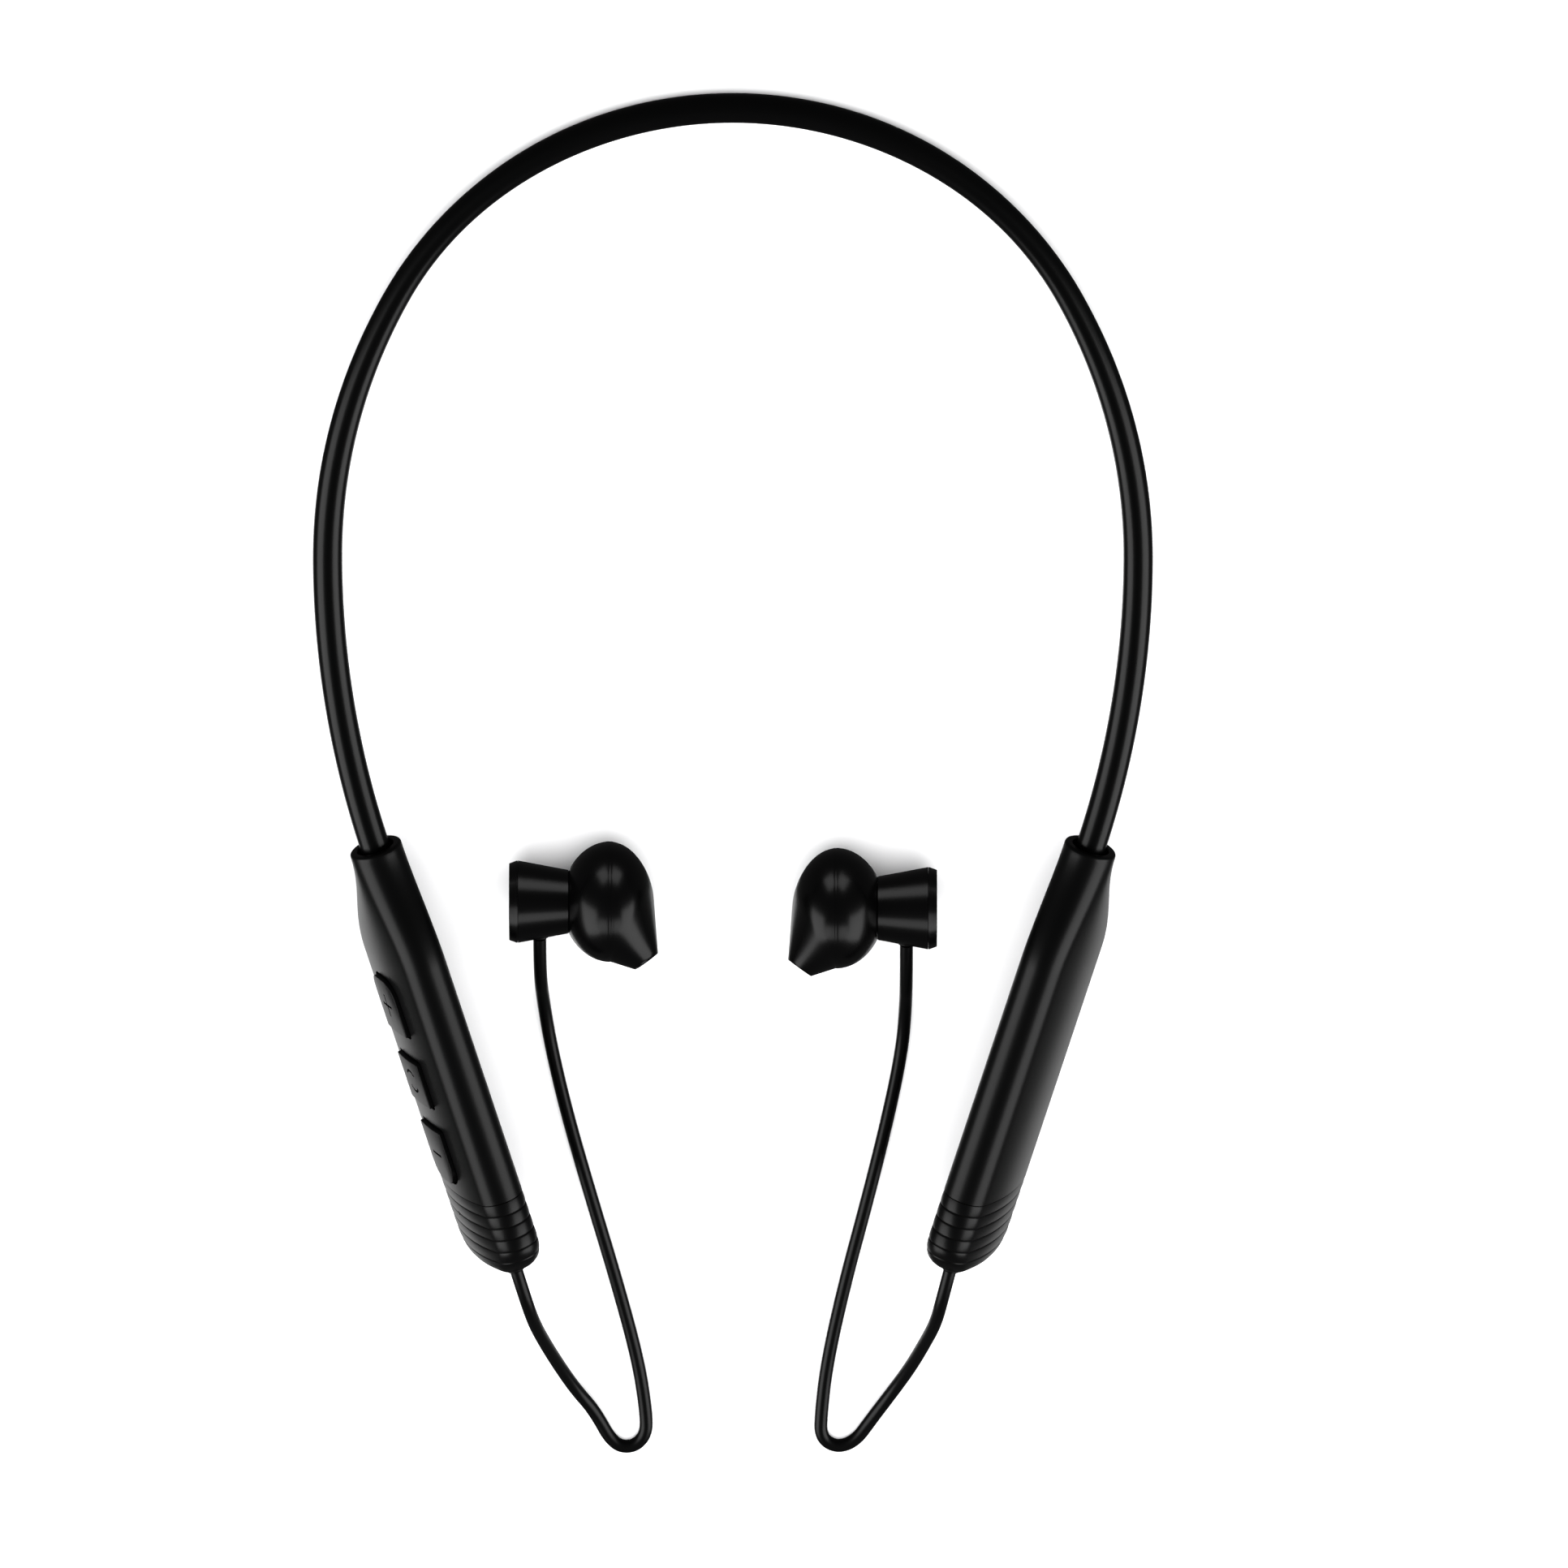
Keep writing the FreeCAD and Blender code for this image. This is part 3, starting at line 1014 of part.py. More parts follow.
def cord(label, side, route):
    """Tube of straight runs joined by tangent arcs as large as the runs allow."""
    points = route_from_tip(side, route)
    edges = []
    radii = []
    last = points[0]
    for before, here, after in zip(points, points[1:], points[2:]):
        into = (here - before)
        out = (after - here)
        shorter = min(into.Length, out.Length)
        into.normalize()
        out.normalize()
        turn = into.getAngle(out)
        radius = 0.45 * shorter / math.tan(turn / 2)
        reach = radius * math.tan(turn / 2)
        start, stop = here - into * reach, here + out * reach
        to_middle = (out - into).normalize()
        centre = here + to_middle * (radius / math.cos(turn / 2))
        middle = centre - to_middle * radius
        edges.append(Part.LineSegment(last, start).toShape())
        edges.append(Part.Arc(start, middle, stop).toShape())
        radii.append(radius)
        last = stop
    edges.append(Part.LineSegment(last, points[-1]).toShape())
    spine = Part.Wire(edges)
    direction = (points[1] - points[0]).normalize()
    ring = Part.Wire(Part.makeCircle(size("cord_diameter") / 2, points[0], direction))
    item = doc.addObject("Part::Feature", label)
    item.Shape = spine.makePipeShell([ring], True, False)
    ideal = math.pi * (size("cord_diameter") / 2) ** 2 * spine.Length
    print("%s: %.1f mm long, bend radii %s, volume %.4f of section times length" % (
        label, spine.Length, " ".join("%.1f" % radius for radius in radii),
        item.Shape.Volume / ideal))
    return finished(item, label, FreeCAD.Placement())


# ---------------------------------------------------------------- the set
band_sleeve()
lumen("memory_wire", "sizes.wire_diameter", "-sizes.lumen_offset", value_of(WEB_END) + 3)
lumen("band_cable", "sizes.cable_diameter", "sizes.lumen_offset", value_of(WEB_END) + 5)
for prefix, side in (("left", -1), ("right", 1)):
    pod_shell(side, prefix)
    tip_cap(side, prefix)
    wire_ferrule(side, prefix)
    grommet(prefix + "_pod_grommet", pod_place(side), "sizes.pod_length - 3",
            "sizes.pod_length + sizes.grommet_proud")
for row in BUTTONS:
    button(*row)
control_electronics()
power_electronics()
for row in EARBUDS:
    earbud(*row)
cord("left_cord", -1, LEFT_ROUTE)
cord("right_cord", 1, RIGHT_ROUTE)
doc.recompute()

faults = [item.Name for item in doc.Objects
          if "Invalid" in item.State or "Error" in item.State]
faults += [item.Label for item in SUBPARTS if item.Shape.isNull() or not item.Shape.isValid()]
if faults:
    raise RuntimeError("failed objects: " + ", ".join(faults))
for item in SUBPARTS:
    item.Shape.exportStep("parts/%s.step" % item.Label)
whole = FreeCAD.BoundBox()
for item in SUBPARTS:
    if not item.Label.endswith("_cord"):
        whole.add(item.Shape.optimalBoundingBox(True, False))
print("%d sub-parts, box without cords x %.2f..%.2f y %.2f..%.2f z %.2f..%.2f" % (
    len(SUBPARTS), whole.XMin, whole.XMax, whole.YMin, whole.YMax, whole.ZMin, whole.ZMax))
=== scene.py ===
"""Neckband earphones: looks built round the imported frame, laid out as an add-on.

Metres, +Z up, +Y towards the top of the neckband's arc, +X towards the right pod.
"""

import math

import bmesh
import bpy
from bpy.props import FloatProperty, FloatVectorProperty, IntProperty, PointerProperty
from mathutils import Matrix, Vector


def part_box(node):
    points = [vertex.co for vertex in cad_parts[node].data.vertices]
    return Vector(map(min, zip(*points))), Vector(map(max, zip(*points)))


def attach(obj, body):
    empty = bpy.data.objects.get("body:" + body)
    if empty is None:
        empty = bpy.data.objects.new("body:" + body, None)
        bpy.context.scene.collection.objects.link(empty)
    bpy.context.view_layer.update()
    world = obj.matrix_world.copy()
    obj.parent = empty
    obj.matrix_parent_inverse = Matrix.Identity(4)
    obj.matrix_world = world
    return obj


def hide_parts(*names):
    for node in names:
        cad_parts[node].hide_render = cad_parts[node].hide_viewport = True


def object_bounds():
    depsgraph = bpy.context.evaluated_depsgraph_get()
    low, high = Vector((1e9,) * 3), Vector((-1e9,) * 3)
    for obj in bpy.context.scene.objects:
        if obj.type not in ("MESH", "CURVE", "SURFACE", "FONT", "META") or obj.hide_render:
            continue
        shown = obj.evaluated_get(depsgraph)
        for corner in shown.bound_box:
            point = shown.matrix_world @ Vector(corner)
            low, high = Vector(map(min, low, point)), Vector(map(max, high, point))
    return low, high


bl_info = {
    "name": "Neckband Earphones",
    "version": (1, 0, 0),
    "blender": (4, 5, 0),
    "location": "View3D > Sidebar > Earphones",
    "description": "Models the sleeve, pods, buttons, earbuds and cords of a neckband set",
    "category": "Add Mesh",
}

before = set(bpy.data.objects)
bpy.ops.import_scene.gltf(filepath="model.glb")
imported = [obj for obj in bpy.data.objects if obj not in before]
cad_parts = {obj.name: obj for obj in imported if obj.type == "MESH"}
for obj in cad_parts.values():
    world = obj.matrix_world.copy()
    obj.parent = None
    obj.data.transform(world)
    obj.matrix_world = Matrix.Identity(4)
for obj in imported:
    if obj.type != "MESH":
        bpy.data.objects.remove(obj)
CAD_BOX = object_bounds()
MM = 0.001
SIDES = (("left", -1), ("right", 1))


def length(name, millimetres, note):
    """A size in metres that is given in millimetres."""
    return FloatProperty(name=name, description=note, default=millimetres * MM, min=0.0,
                         precision=5, unit="LENGTH", subtype="DISTANCE")


def turn(name, degrees, note):
    return FloatProperty(name=name, description=note, default=math.radians(degrees),
                         unit="ROTATION", subtype="ANGLE")


def tone(name, red, green, blue, note):
    return FloatVectorProperty(name=name, description=note, default=(red, green, blue, 1.0),
                               size=4, min=0.0, max=1.0, subtype="COLOR")


# ------------------------------------------------------------------ sizes and colours
class BandSizes(bpy.types.PropertyGroup):
    """Neckband: three arcs a side, and the rubber sleeve on them"""
    sleeve: length("Sleeve", 4.5, "Outer diameter of the rubber sleeve at its ends")
    waist: length("Waist", 3.8, "Outer diameter where the sleeve is thinnest")
    waist_turn: turn("Waist turn", 52.0, "Turn of the neckband at its thinnest place")
    waist_spread: turn("Waist spread", 25.0, "How far the thinner stretch spreads")
    bore: length("Bore", 2.7, "Bore of the sleeve")
    top_radius: length("Top radius", 57.0, "Arc behind the neck")
    side_radius: length("Side radius", 89.5, "Arc over the collar bone")
    end_radius: length("End radius", 158.0, "Arc that leads into a pod")
    top_turn: turn("Top turn", 62.0, "Turn of the top arc on each side")
    end_turn: turn("End turn", 107.1, "Whole turn on each side")
    tilt: turn("Tilt", 4.88, "Slope of the set on the table")
    arc_top: length("Arc top", 93.0, "From the origin to the top of the arc")
    seat: length("Seat", 6.5, "Length of the sleeve inside a pod")


class PodSizes(bpy.types.PropertyGroup):
    """Flat oval pods and their tip caps"""
    length: length("Length", 71.6, "From mouth to tip")
    blend: length("Blend", 19.0, "Length over which the mouth grows to the oval")
    seam: length("Seam", 58.0, "From the mouth to the seam of the tip cap")
    thick: length("Thickness", 8.5, "Thickness of the oval")
    wide: length("Width", 23.0, "Width of the oval")
    end_radius: length("End radius", 3.5, "Radius of the oval's ends")
    offset: length("Offset", 3.3, "Neckband axis above the oval's middle")
    lean: turn("Lean", 21.5, "Lean of the oval towards the neck")
    mouth: length("Mouth", 8.0, "Outer diameter of the mouth")
    recess: length("Recess", 5.7, "Open ring round the sleeve")
    recess_depth: length("Recess depth", 3.5, "Depth of that ring")
    web: length("Web bore", 3.3, "Bore for wire and cable")
    rim_round: length("Rim round", 0.45, "Rounding of the mouth's rim")
    wall: length("Wall", 1.2, "Wall of shell and cap")
    dome: length("Dome", 6.2, "Length of the rounded end")
    dome_drop: length("Dome drop", 3.2, "Middle of the rounded end below the oval's middle")
    ring_pitch: length("Ring pitch", 2.0, "Pitch of the fine ring grooves")
    ring_depth: length("Ring depth", 0.13, "Depth of a ring groove")
    ring_half: length("Ring half width", 0.1, "Half the width of a ring groove")
    ring_crown: length("Ring crown", 0.07, "Crown of each band between grooves")
    spigot: length("Spigot", 3.5, "Tip cap inside the shell")
    spigot_wall: length("Spigot wall", 1.0, "Wall of that part")
    port_half: length("Port half length", 2.9, "From the port's middle to its rounded ends' centres")
    port_round: length("Port round", 1.72, "Radius of the charging port's rounded ends")
    microphone: length("Microphone", 0.35, "Radius of the sound hole in the left tip cap")
    rings: IntProperty(name="Rings", description="Ring grooves on a tip cap", default=6)


class ButtonSizes(bpy.types.PropertyGroup):
    """Three push buttons of the left pod"""
    wide: length("Width", 8.8, "Width across the pod")
    drop: length("Drop", 1.2, "Middle below the oval's middle")
    gap: length("Gap", 0.4, "Open gap round a button")
    proud: length("Proud", 0.6, "Button above the shell")
    deep: length("Depth", 2.9, "Height of the cap below its face")
    corner: length("Large corner", 2.8, "Rounded end of the outer buttons")
    corner_small: length("Small corner", 0.4, "The other corners")
    edge: length("Edge", 0.12, "Rounding of a button's edge")
    mark: length("Mark", 3.8, "Length of the plus and minus marks")
    mark_line: length("Mark line", 0.42, "Width of the marks")
    mark_depth: length("Mark depth", 0.25, "Depth of the marks")
    ring_mark: length("Ring mark", 3.5, "Diameter of the broken ring mark")
    plus_start: length("Plus", 21.5, "Near end of the plus button")
    power_start: length("Power", 35.1, "Near end of the power button")
    minus_start: length("Minus", 46.7, "Near end of the minus button")
    outer_length: length("Outer length", 9.1, "Length of the plus and minus buttons")
    power_length: length("Power length", 7.5, "Length of the power button")


class BudSizes(bpy.types.PropertyGroup):
    """Earbuds with a magnetic back cap and an oblique nozzle"""
    diameter: length("Diameter", 18.2, "Largest diameter")
    face: length("Back face", 11.6, "Flat back face")
    cap: length("Back cap", 12.4, "Back cap behind its chamfer")
    cap_thick: length("Cap thickness", 1.3, "Thickness of the back cap")
    neck: length("Neck", 9.5, "Thin end of the rear cone")
    cone: length("Cone", 7.7, "Length of the rear cone")
    rear: length("Rear", 6.3, "Rear shell from the cone to the seam")
    front: length("Front swell", 6.5, "Half axis of the front shell's oval")
    wall: length("Wall", 0.8, "Wall of the shells")
    nozzle: length("Nozzle", 4.3, "Outer diameter of the nozzle's end")
    nozzle_bore: length("Nozzle bore", 3.3, "Bore of the nozzle")
    ahead: length("Nozzle ahead", 5.4, "Nozzle's end ahead of the seam")
    out: length("Nozzle out", 9.0, "Nozzle's end out from the axis")
    angle: turn("Nozzle angle", 54.0, "Nozzle's axis from the earbud's axis")
    roll_left: turn("Left roll", 32.0, "Nozzle turned up from the table, left")
    roll_right: turn("Right roll", 24.0, "Nozzle turned up from the table, right")
    cord_entry: length("Cord entry", 4.6, "From the back face to the cord's hole")
    front_wall: length("Front wall", 0.5, "Wall of the front shell")
    screen_wire: length("Screen wire", 0.05, "Half the width of the screen's wires")
    screen_thick: length("Screen thickness", 0.06, "Thickness of the screen")
    screen_back: length("Screen back", 0.3, "Screen behind the nozzle's rim")


class CordSizes(bpy.types.PropertyGroup):
    """Earbud cords"""
    diameter: length("Diameter", 2.0, "Diameter of a cord")
    gland_bore: length("Gland bore", 1.05, "Radius of the bore of a cord gland")
    gland: length("Gland", 1.4, "Outer radius of a cord gland")
    gland_hole: length("Gland hole", 1.42, "Radius of the hole that a gland sits in")
    left_length: length("Left length", 142.8, "Left cord from pod to earbud")
    right_length: length("Right length", 141.2, "Right cord from pod to earbud")


class Finishes(bpy.types.PropertyGroup):
    """Base colours of the set"""
    pod: tone("Pod", 0.005, 0.005, 0.0053, "Satin moulded plastic of pods and buttons")
    bud: tone("Earbud", 0.0022, 0.0022, 0.0024, "Smooth moulded plastic of the earbuds")
    sleeve: tone("Sleeve", 0.003, 0.003, 0.0032, "Rubber of the neckband")
    cord: tone("Cord", 0.005, 0.005, 0.0053, "Rubber of the cords")
    # Painted shade: the floors and walls of the sunk button marks are coloured darker than the button
    # plastic, standing in for the shade inside the recesses
    mark_shade_tone: tone("Mark", 0.0008, 0.0008, 0.0008, "Sunk marks of the buttons")
    floor: tone("Floor", 0.86, 0.86, 0.865, "Pale studio floor")


class StudioSizes(bpy.types.PropertyGroup):
    """Camera and lights"""
    view_tilt: turn("View tilt", 26.4, "Camera leans this far from straight above")
    view_width: length("View width", 236.0, "Width that the camera sees")
    lens: FloatProperty(name="Lens", description="Focal length in millimetres", default=1200.0)
    side_power: FloatProperty(name="Side lights", description="Radiance of the side lights", default=1.5)
    rim_power: FloatProperty(name="Rim lights", description="Radiance of the low rim lights", default=0.78)
    rim_tilt: FloatProperty(name="Rim difference", description="Left rim light brighter, right dimmer",
                            default=0.22)
    floor_power: FloatProperty(name="Floor light", description="Radiance of the light on the floor",
                               default=5.0)
    bud_power: FloatProperty(name="Earbud lights", description="Radiance of the earbuds' lights",
                             default=1.2)
    world_power: FloatProperty(name="World light", description="Strength of the even light all round",
                               default=0.04)


GROUPS = (
    ("neckband_sizes", BandSizes), ("pod_sizes", PodSizes), ("button_sizes", ButtonSizes),
    ("earbud_sizes", BudSizes), ("cord_sizes", CordSizes), ("finish_tones", Finishes),
    ("studio_sizes", StudioSizes))


# ------------------------------------------------------------------ places
def band_point(band, angle):
    """Point and heading of the right half of the neckband after a turn."""
    top = min(angle, band.top_turn)
    quarter = math.pi / 2
    x = band.top_radius * math.sin(top)
    y = -band.top_radius * (1 - math.cos(top))
    if angle > band.top_turn:
        side = min(angle, quarter)
        x += band.side_radius * (math.sin(side) - math.sin(top))
        y -= band.side_radius * (math.cos(top) - math.cos(side))
    if angle > quarter:
        x -= band.end_radius * (1 - math.sin(angle))
        y += band.end_radius * math.cos(angle)
    return Vector((x, y, 0.0)), Vector((math.cos(angle), -math.sin(angle), 0.0))


def band_place(band):
    """From the neckband's own plane to its sloping place on the table."""
    lift = Matrix.Translation((0.0, band.arc_top, band.sleeve / 2))
    return lift @ Matrix.Rotation(-band.tilt, 4, "X")


def axes_matrix(x_axis, y_axis, z_axis, base):
    columns = Matrix((x_axis, y_axis, z_axis)).transposed().to_4x4()
    columns.translation = base
    return columns


def pod_place(scene, side):
    """Pod frame: +Z from mouth to tip, +Y up the oval, outer face towards side times X."""
    band, pod = scene.neckband_sizes, scene.pod_sizes
    mouth, heading = band_point(band, band.end_turn)
    mouth.x *= side
    heading.x *= side
    inward = Vector((-side * abs(heading.y), abs(heading.x), 0.0))
    upright = Vector((0.0, 0.0, 1.0))
    up = upright * math.cos(pod.lean) + inward * math.sin(pod.lean)
    outer = (upright * math.sin(pod.lean) - inward * math.cos(pod.lean)) * side
    return band_place(band) @ axes_matrix(outer, up, heading, mouth)


def bud_place(scene, prefix, side):
    """Earbud frame: +Z from the back face to the front, +X down the table and up by roll."""
    bud = scene.earbud_sizes
    low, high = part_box(prefix + "_magnet_cap")
    base = (low + high) / 2
    base.x = low.x if side < 0 else high.x
    roll = bud.roll_left if side < 0 else bud.roll_right
    z_axis = Vector((-side, 0.0, 0.0))
    x_axis = Vector((0.0, -math.cos(roll), math.sin(roll)))
    return axes_matrix(x_axis, z_axis.cross(x_axis), z_axis, base)


# ------------------------------------------------------------------ mesh tools
def piece_from(name, shape, material, place=None, smooth=35.0):
    """Turns a bmesh into a finished piece whose place is in its mesh."""
    mesh = bpy.data.meshes.new(name)
    if place is not None:
        bmesh.ops.transform(shape, matrix=place, verts=shape.verts)
    shape.to_mesh(mesh)
    shape.free()
    piece = bpy.data.objects.new(name, mesh)
    bpy.context.scene.collection.objects.link(piece)
    if material is not None:
        mesh.materials.append(material)
    if smooth:
        mesh.shade_smooth()
        mesh.set_sharp_from_angle(angle=math.radians(smooth))
    return piece


def closed_loop(verts):
    """Edges between a ring's own vertices."""
    ring = set(verts)
    return [edge for edge in {e for v in verts for e in v.link_edges}
            if edge.verts[0] in ring and edge.verts[1] in ring]


def skin(rings, whole):
    """Extrudes one ring of points to the next; whole joins the last ring to the first."""
    shape = bmesh.new()
    spot = shape.verts.layers.int.new("spot")
    made = bmesh.ops.create_circle(shape, segments=len(rings[0]), radius=1.0)["verts"]
    for index, vert in enumerate(made):
        vert[spot] = index
    first = loop = list(made)
    for number, ring in enumerate(rings):
        if number:
            grown = bmesh.ops.extrude_edge_only(shape, edges=closed_loop(loop))["geom"]
            loop = sorted((v for v in grown if isinstance(v, bmesh.types.BMVert)),
                          key=lambda v: v[spot])
        for vert, point in zip(loop, ring):
            vert.co = point
    if whole:
        bmesh.ops.bridge_loops(shape, edges=closed_loop(loop) + closed_loop(first))
    else:
        for ends in (loop, first):
            bmesh.ops.contextual_create(shape, geom=closed_loop(ends))
    bmesh.ops.recalc_face_normals(shape, faces=shape.faces)
    return shape


def turned(corners, steps=96):
    """Solid of revolution about Z from an outline of (radius, height) corners."""
    shape = bmesh.new()
    verts = [shape.verts.new((radius, 0.0, height)) for radius, height in corners]
    edges = [shape.edges.new(pair) for pair in zip(verts, verts[1:])]
    if corners[0][0] > 0:
        edges.append(shape.edges.new((verts[-1], verts[0])))
    bmesh.ops.spin(shape, geom=verts + edges, cent=(0, 0, 0), axis=(0, 0, 1), dvec=(0, 0, 0),
                   angle=2 * math.pi, steps=steps, use_merge=True)
    bmesh.ops.remove_doubles(shape, verts=shape.verts, dist=1e-6)
    bmesh.ops.recalc_face_normals(shape, faces=shape.faces)
    return shape


def carve(piece, cutters, material=None):
    """Cuts closed shapes out of a piece for good; material is that of the cut faces."""
    tools = []
    for number, shape in enumerate(cutters):
        tool = piece_from("cutter_%d" % number, shape, material or piece.data.materials[0], smooth=0)
        hole = piece.modifiers.new("hole", "BOOLEAN")
        hole.operation = "DIFFERENCE"
        hole.solver = "EXACT"
        hole.material_mode = "TRANSFER"
        hole.object = tool
        tools.append(tool)
    bpy.context.view_layer.update()
    solved = piece.evaluated_get(bpy.context.evaluated_depsgraph_get())
    old, carved = piece.data, bpy.data.meshes.new_from_object(solved)
    piece.modifiers.clear()
    piece.data = carved
    carved.name = old.name
    bpy.data.meshes.remove(old)
    for tool in tools:
        bpy.data.meshes.remove(tool.data)
    carved.set_sharp_from_angle(angle=math.radians(35.0))


def rod_shape(radius, low, high, place, segments=48):
    """Cylinder along local Z between two heights."""
    shape = bmesh.new()
    stand = place @ Matrix.Translation((0, 0, (low + high) / 2))
    bmesh.ops.create_cone(shape, cap_ends=True, segments=segments, radius1=radius,
                          radius2=radius, depth=high - low, matrix=stand)
    return shape


def settle(piece, prefix_nodes, slot, body="set"):
    """Rides a piece on its body, in place of the nodes that it stands for."""
    if slot in ("bud_plastic", "bud_cap", "mesh_steel"):
        bpy.data.collections["earbuds"].objects.link(piece)
    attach(piece, body)
    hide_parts(*prefix_nodes)


def cord_gland(cords, name, node, place, low, shoulder, high):
    """Rubber ring round a cord where it enters its housing."""
    ring = turned(((cords.gland_bore, low), (cords.gland, low), (cords.gland, shoulder),
                   (cords.gland - 0.1 * MM, high), (cords.gland_bore, high)), 48)
    settle(piece_from(name, ring, finish_of("moulded_gland"), place), [node], "grommet_rubber")


# ------------------------------------------------------------------ outlines
END_STEPS, SIDE_STEPS = 26, 14


def oval(half_thick, half_wide, end_radius, middle, level):
    """Ring of points on an oval of four tangent arcs, long axis along Y."""
    reach = half_wide - end_radius
    big = (half_thick ** 2 + reach ** 2 - end_radius ** 2) / (2 * (half_thick - end_radius))
    spread = math.atan2(reach, big - half_thick)
    arcs = ((half_thick - big, middle, big, -spread, spread, SIDE_STEPS),
            (0.0, middle + reach, end_radius, spread, math.pi - spread, END_STEPS),
            (big - half_thick, middle, big, math.pi - spread, math.pi + spread, SIDE_STEPS),
            (0.0, middle - reach, end_radius, math.pi + spread, 2 * math.pi - spread, END_STEPS))
    ring = []
    for x, y, radius, start, stop, steps in arcs:
        for step in range(steps):
            angle = start + (stop - start) * step / steps
            ring.append(Vector((x + radius * math.cos(angle), y + radius * math.sin(angle), level)))
    return ring


def round_ring(radius, level):
    """Circle with as many points as an oval, spread like those of the mouth."""
    return oval(radius, radius * 1.012, radius * 0.986, 0.0, level)


def pod_ring(pod, level, inset=0.0):
    """Outer section of a pod at a distance from its mouth, made smaller all round by inset."""
    share = min(level / pod.blend, 1.0)
    grown = share * share * (3 - 2 * share)
    mouth = (pod.mouth / 2, pod.mouth * 0.506, pod.mouth * 0.493)
    full = (pod.thick / 2, pod.wide / 2, pod.end_radius)
    sizes = [a * (1 - grown) + b * grown - inset for a, b in zip(mouth, full)]
    return oval(*sizes, -pod.offset * grown, level)


def dome_ring(pod, level, inset=0.0):
    """Section of the tip cap: straight skirt, then an oval dome."""
    start = pod.length - pod.dome
    depth = min(max((level - start) / pod.dome, 0.0), 0.9995)
    shape, taper = math.sqrt(1 - depth ** 4), math.sqrt(1 - depth ** 2)
    return oval((pod.thick / 2 - inset) * shape, pod.wide / 2 - pod.dome * (1 - taper) - inset * shape,
                (pod.end_radius - inset) * shape, -pod.offset - pod.dome_drop * (1 - taper), level)


def button_ring(buttons, pod, start, long, rounded, grow, depth):
    """Rounded rectangle on the outer face; rounded marks its near and far end."""
    middle = -pod.offset - buttons.drop
    half = buttons.wide / 2 + grow
    low, high = start - grow, start + long + grow
    near, far = [(buttons.corner if big else buttons.corner_small) + grow for big in rounded]
    corners = ((middle + half - near, low + near, near, -90.0),
               (middle + half - far, high - far, far, 0.0),
               (middle - half + far, high - far, far, 90.0),
               (middle - half + near, low + near, near, 180.0))
    points = []
    for y, z, radius, begin in corners:
        for step in range(9):
            angle = math.radians(begin + 90.0 * step / 8)
            points.append(Vector((depth, y + radius * math.cos(angle),
                                  z + radius * math.sin(angle))))
    return points


# ------------------------------------------------------------------ materials
def group_node(name, inputs, outputs):
    """Empty shader group with named sockets; each input is (type, name, default)."""
    group = bpy.data.node_groups.new(name, "ShaderNodeTree")
    for kind, label, value in inputs:
        socket = group.interface.new_socket(label, in_out="INPUT", socket_type="NodeSocket" + kind)
        socket.default_value = value
    for kind, label in outputs:
        group.interface.new_socket(label, in_out="OUTPUT", socket_type="NodeSocket" + kind)
    return group, group.nodes.new("NodeGroupInput"), group.nodes.new("NodeGroupOutput")


def moulded_group():
    """Fine spark-eroded grain with slow unevenness in tone and gloss."""
    group, into, out = group_node(
        "moulded_surface",
        (("Color", "Color", (0.01, 0.01, 0.01, 1)), ("Float", "Roughness", 0.35),
         ("Float", "Grain Scale", 9000.0), ("Float", "Unevenness", 0.03),
         ("Float", "Tone Change", 0.15)),
        (("Color", "Color"), ("Float", "Roughness"), ("Float", "Grain")))
    nodes, links = group.nodes, group.links
    where = nodes.new("ShaderNodeTexCoord")
    grain = nodes.new("ShaderNodeTexNoise")
    grain.inputs["Detail"].default_value = 2.0
    links.new(where.outputs["Object"], grain.inputs["Vector"])
    links.new(into.outputs["Grain Scale"], grain.inputs["Scale"])
    slow = nodes.new("ShaderNodeTexNoise")
    slow.inputs["Scale"].default_value = 160.0
    slow.inputs["Detail"].default_value = 3.0
    links.new(where.outputs["Object"], slow.inputs["Vector"])
    centred = nodes.new("ShaderNodeMath")
    centred.operation = "SUBTRACT"
    centred.inputs[1].default_value = 0.5
    links.new(slow.outputs["Fac"], centred.inputs[0])
    spread, brighter = nodes.new("ShaderNodeMath"), nodes.new("ShaderNodeMath")
    for node, amount in ((spread, "Unevenness"), (brighter, "Tone Change")):
        node.operation = "MULTIPLY_ADD"
        links.new(centred.outputs[0], node.inputs[0])
        links.new(into.outputs[amount], node.inputs[1])
    links.new(into.outputs["Roughness"], spread.inputs[2])
    brighter.inputs[2].default_value = 1.0
    shade = nodes.new("ShaderNodeVectorMath")
    shade.operation = "SCALE"
    links.new(into.outputs["Color"], shade.inputs[0])
    links.new(brighter.outputs[0], shade.inputs["Scale"])
    links.new(shade.outputs[0], out.inputs["Color"])
    links.new(spread.outputs[0], out.inputs["Roughness"])
    links.new(grain.outputs["Fac"], out.inputs["Grain"])
    return group


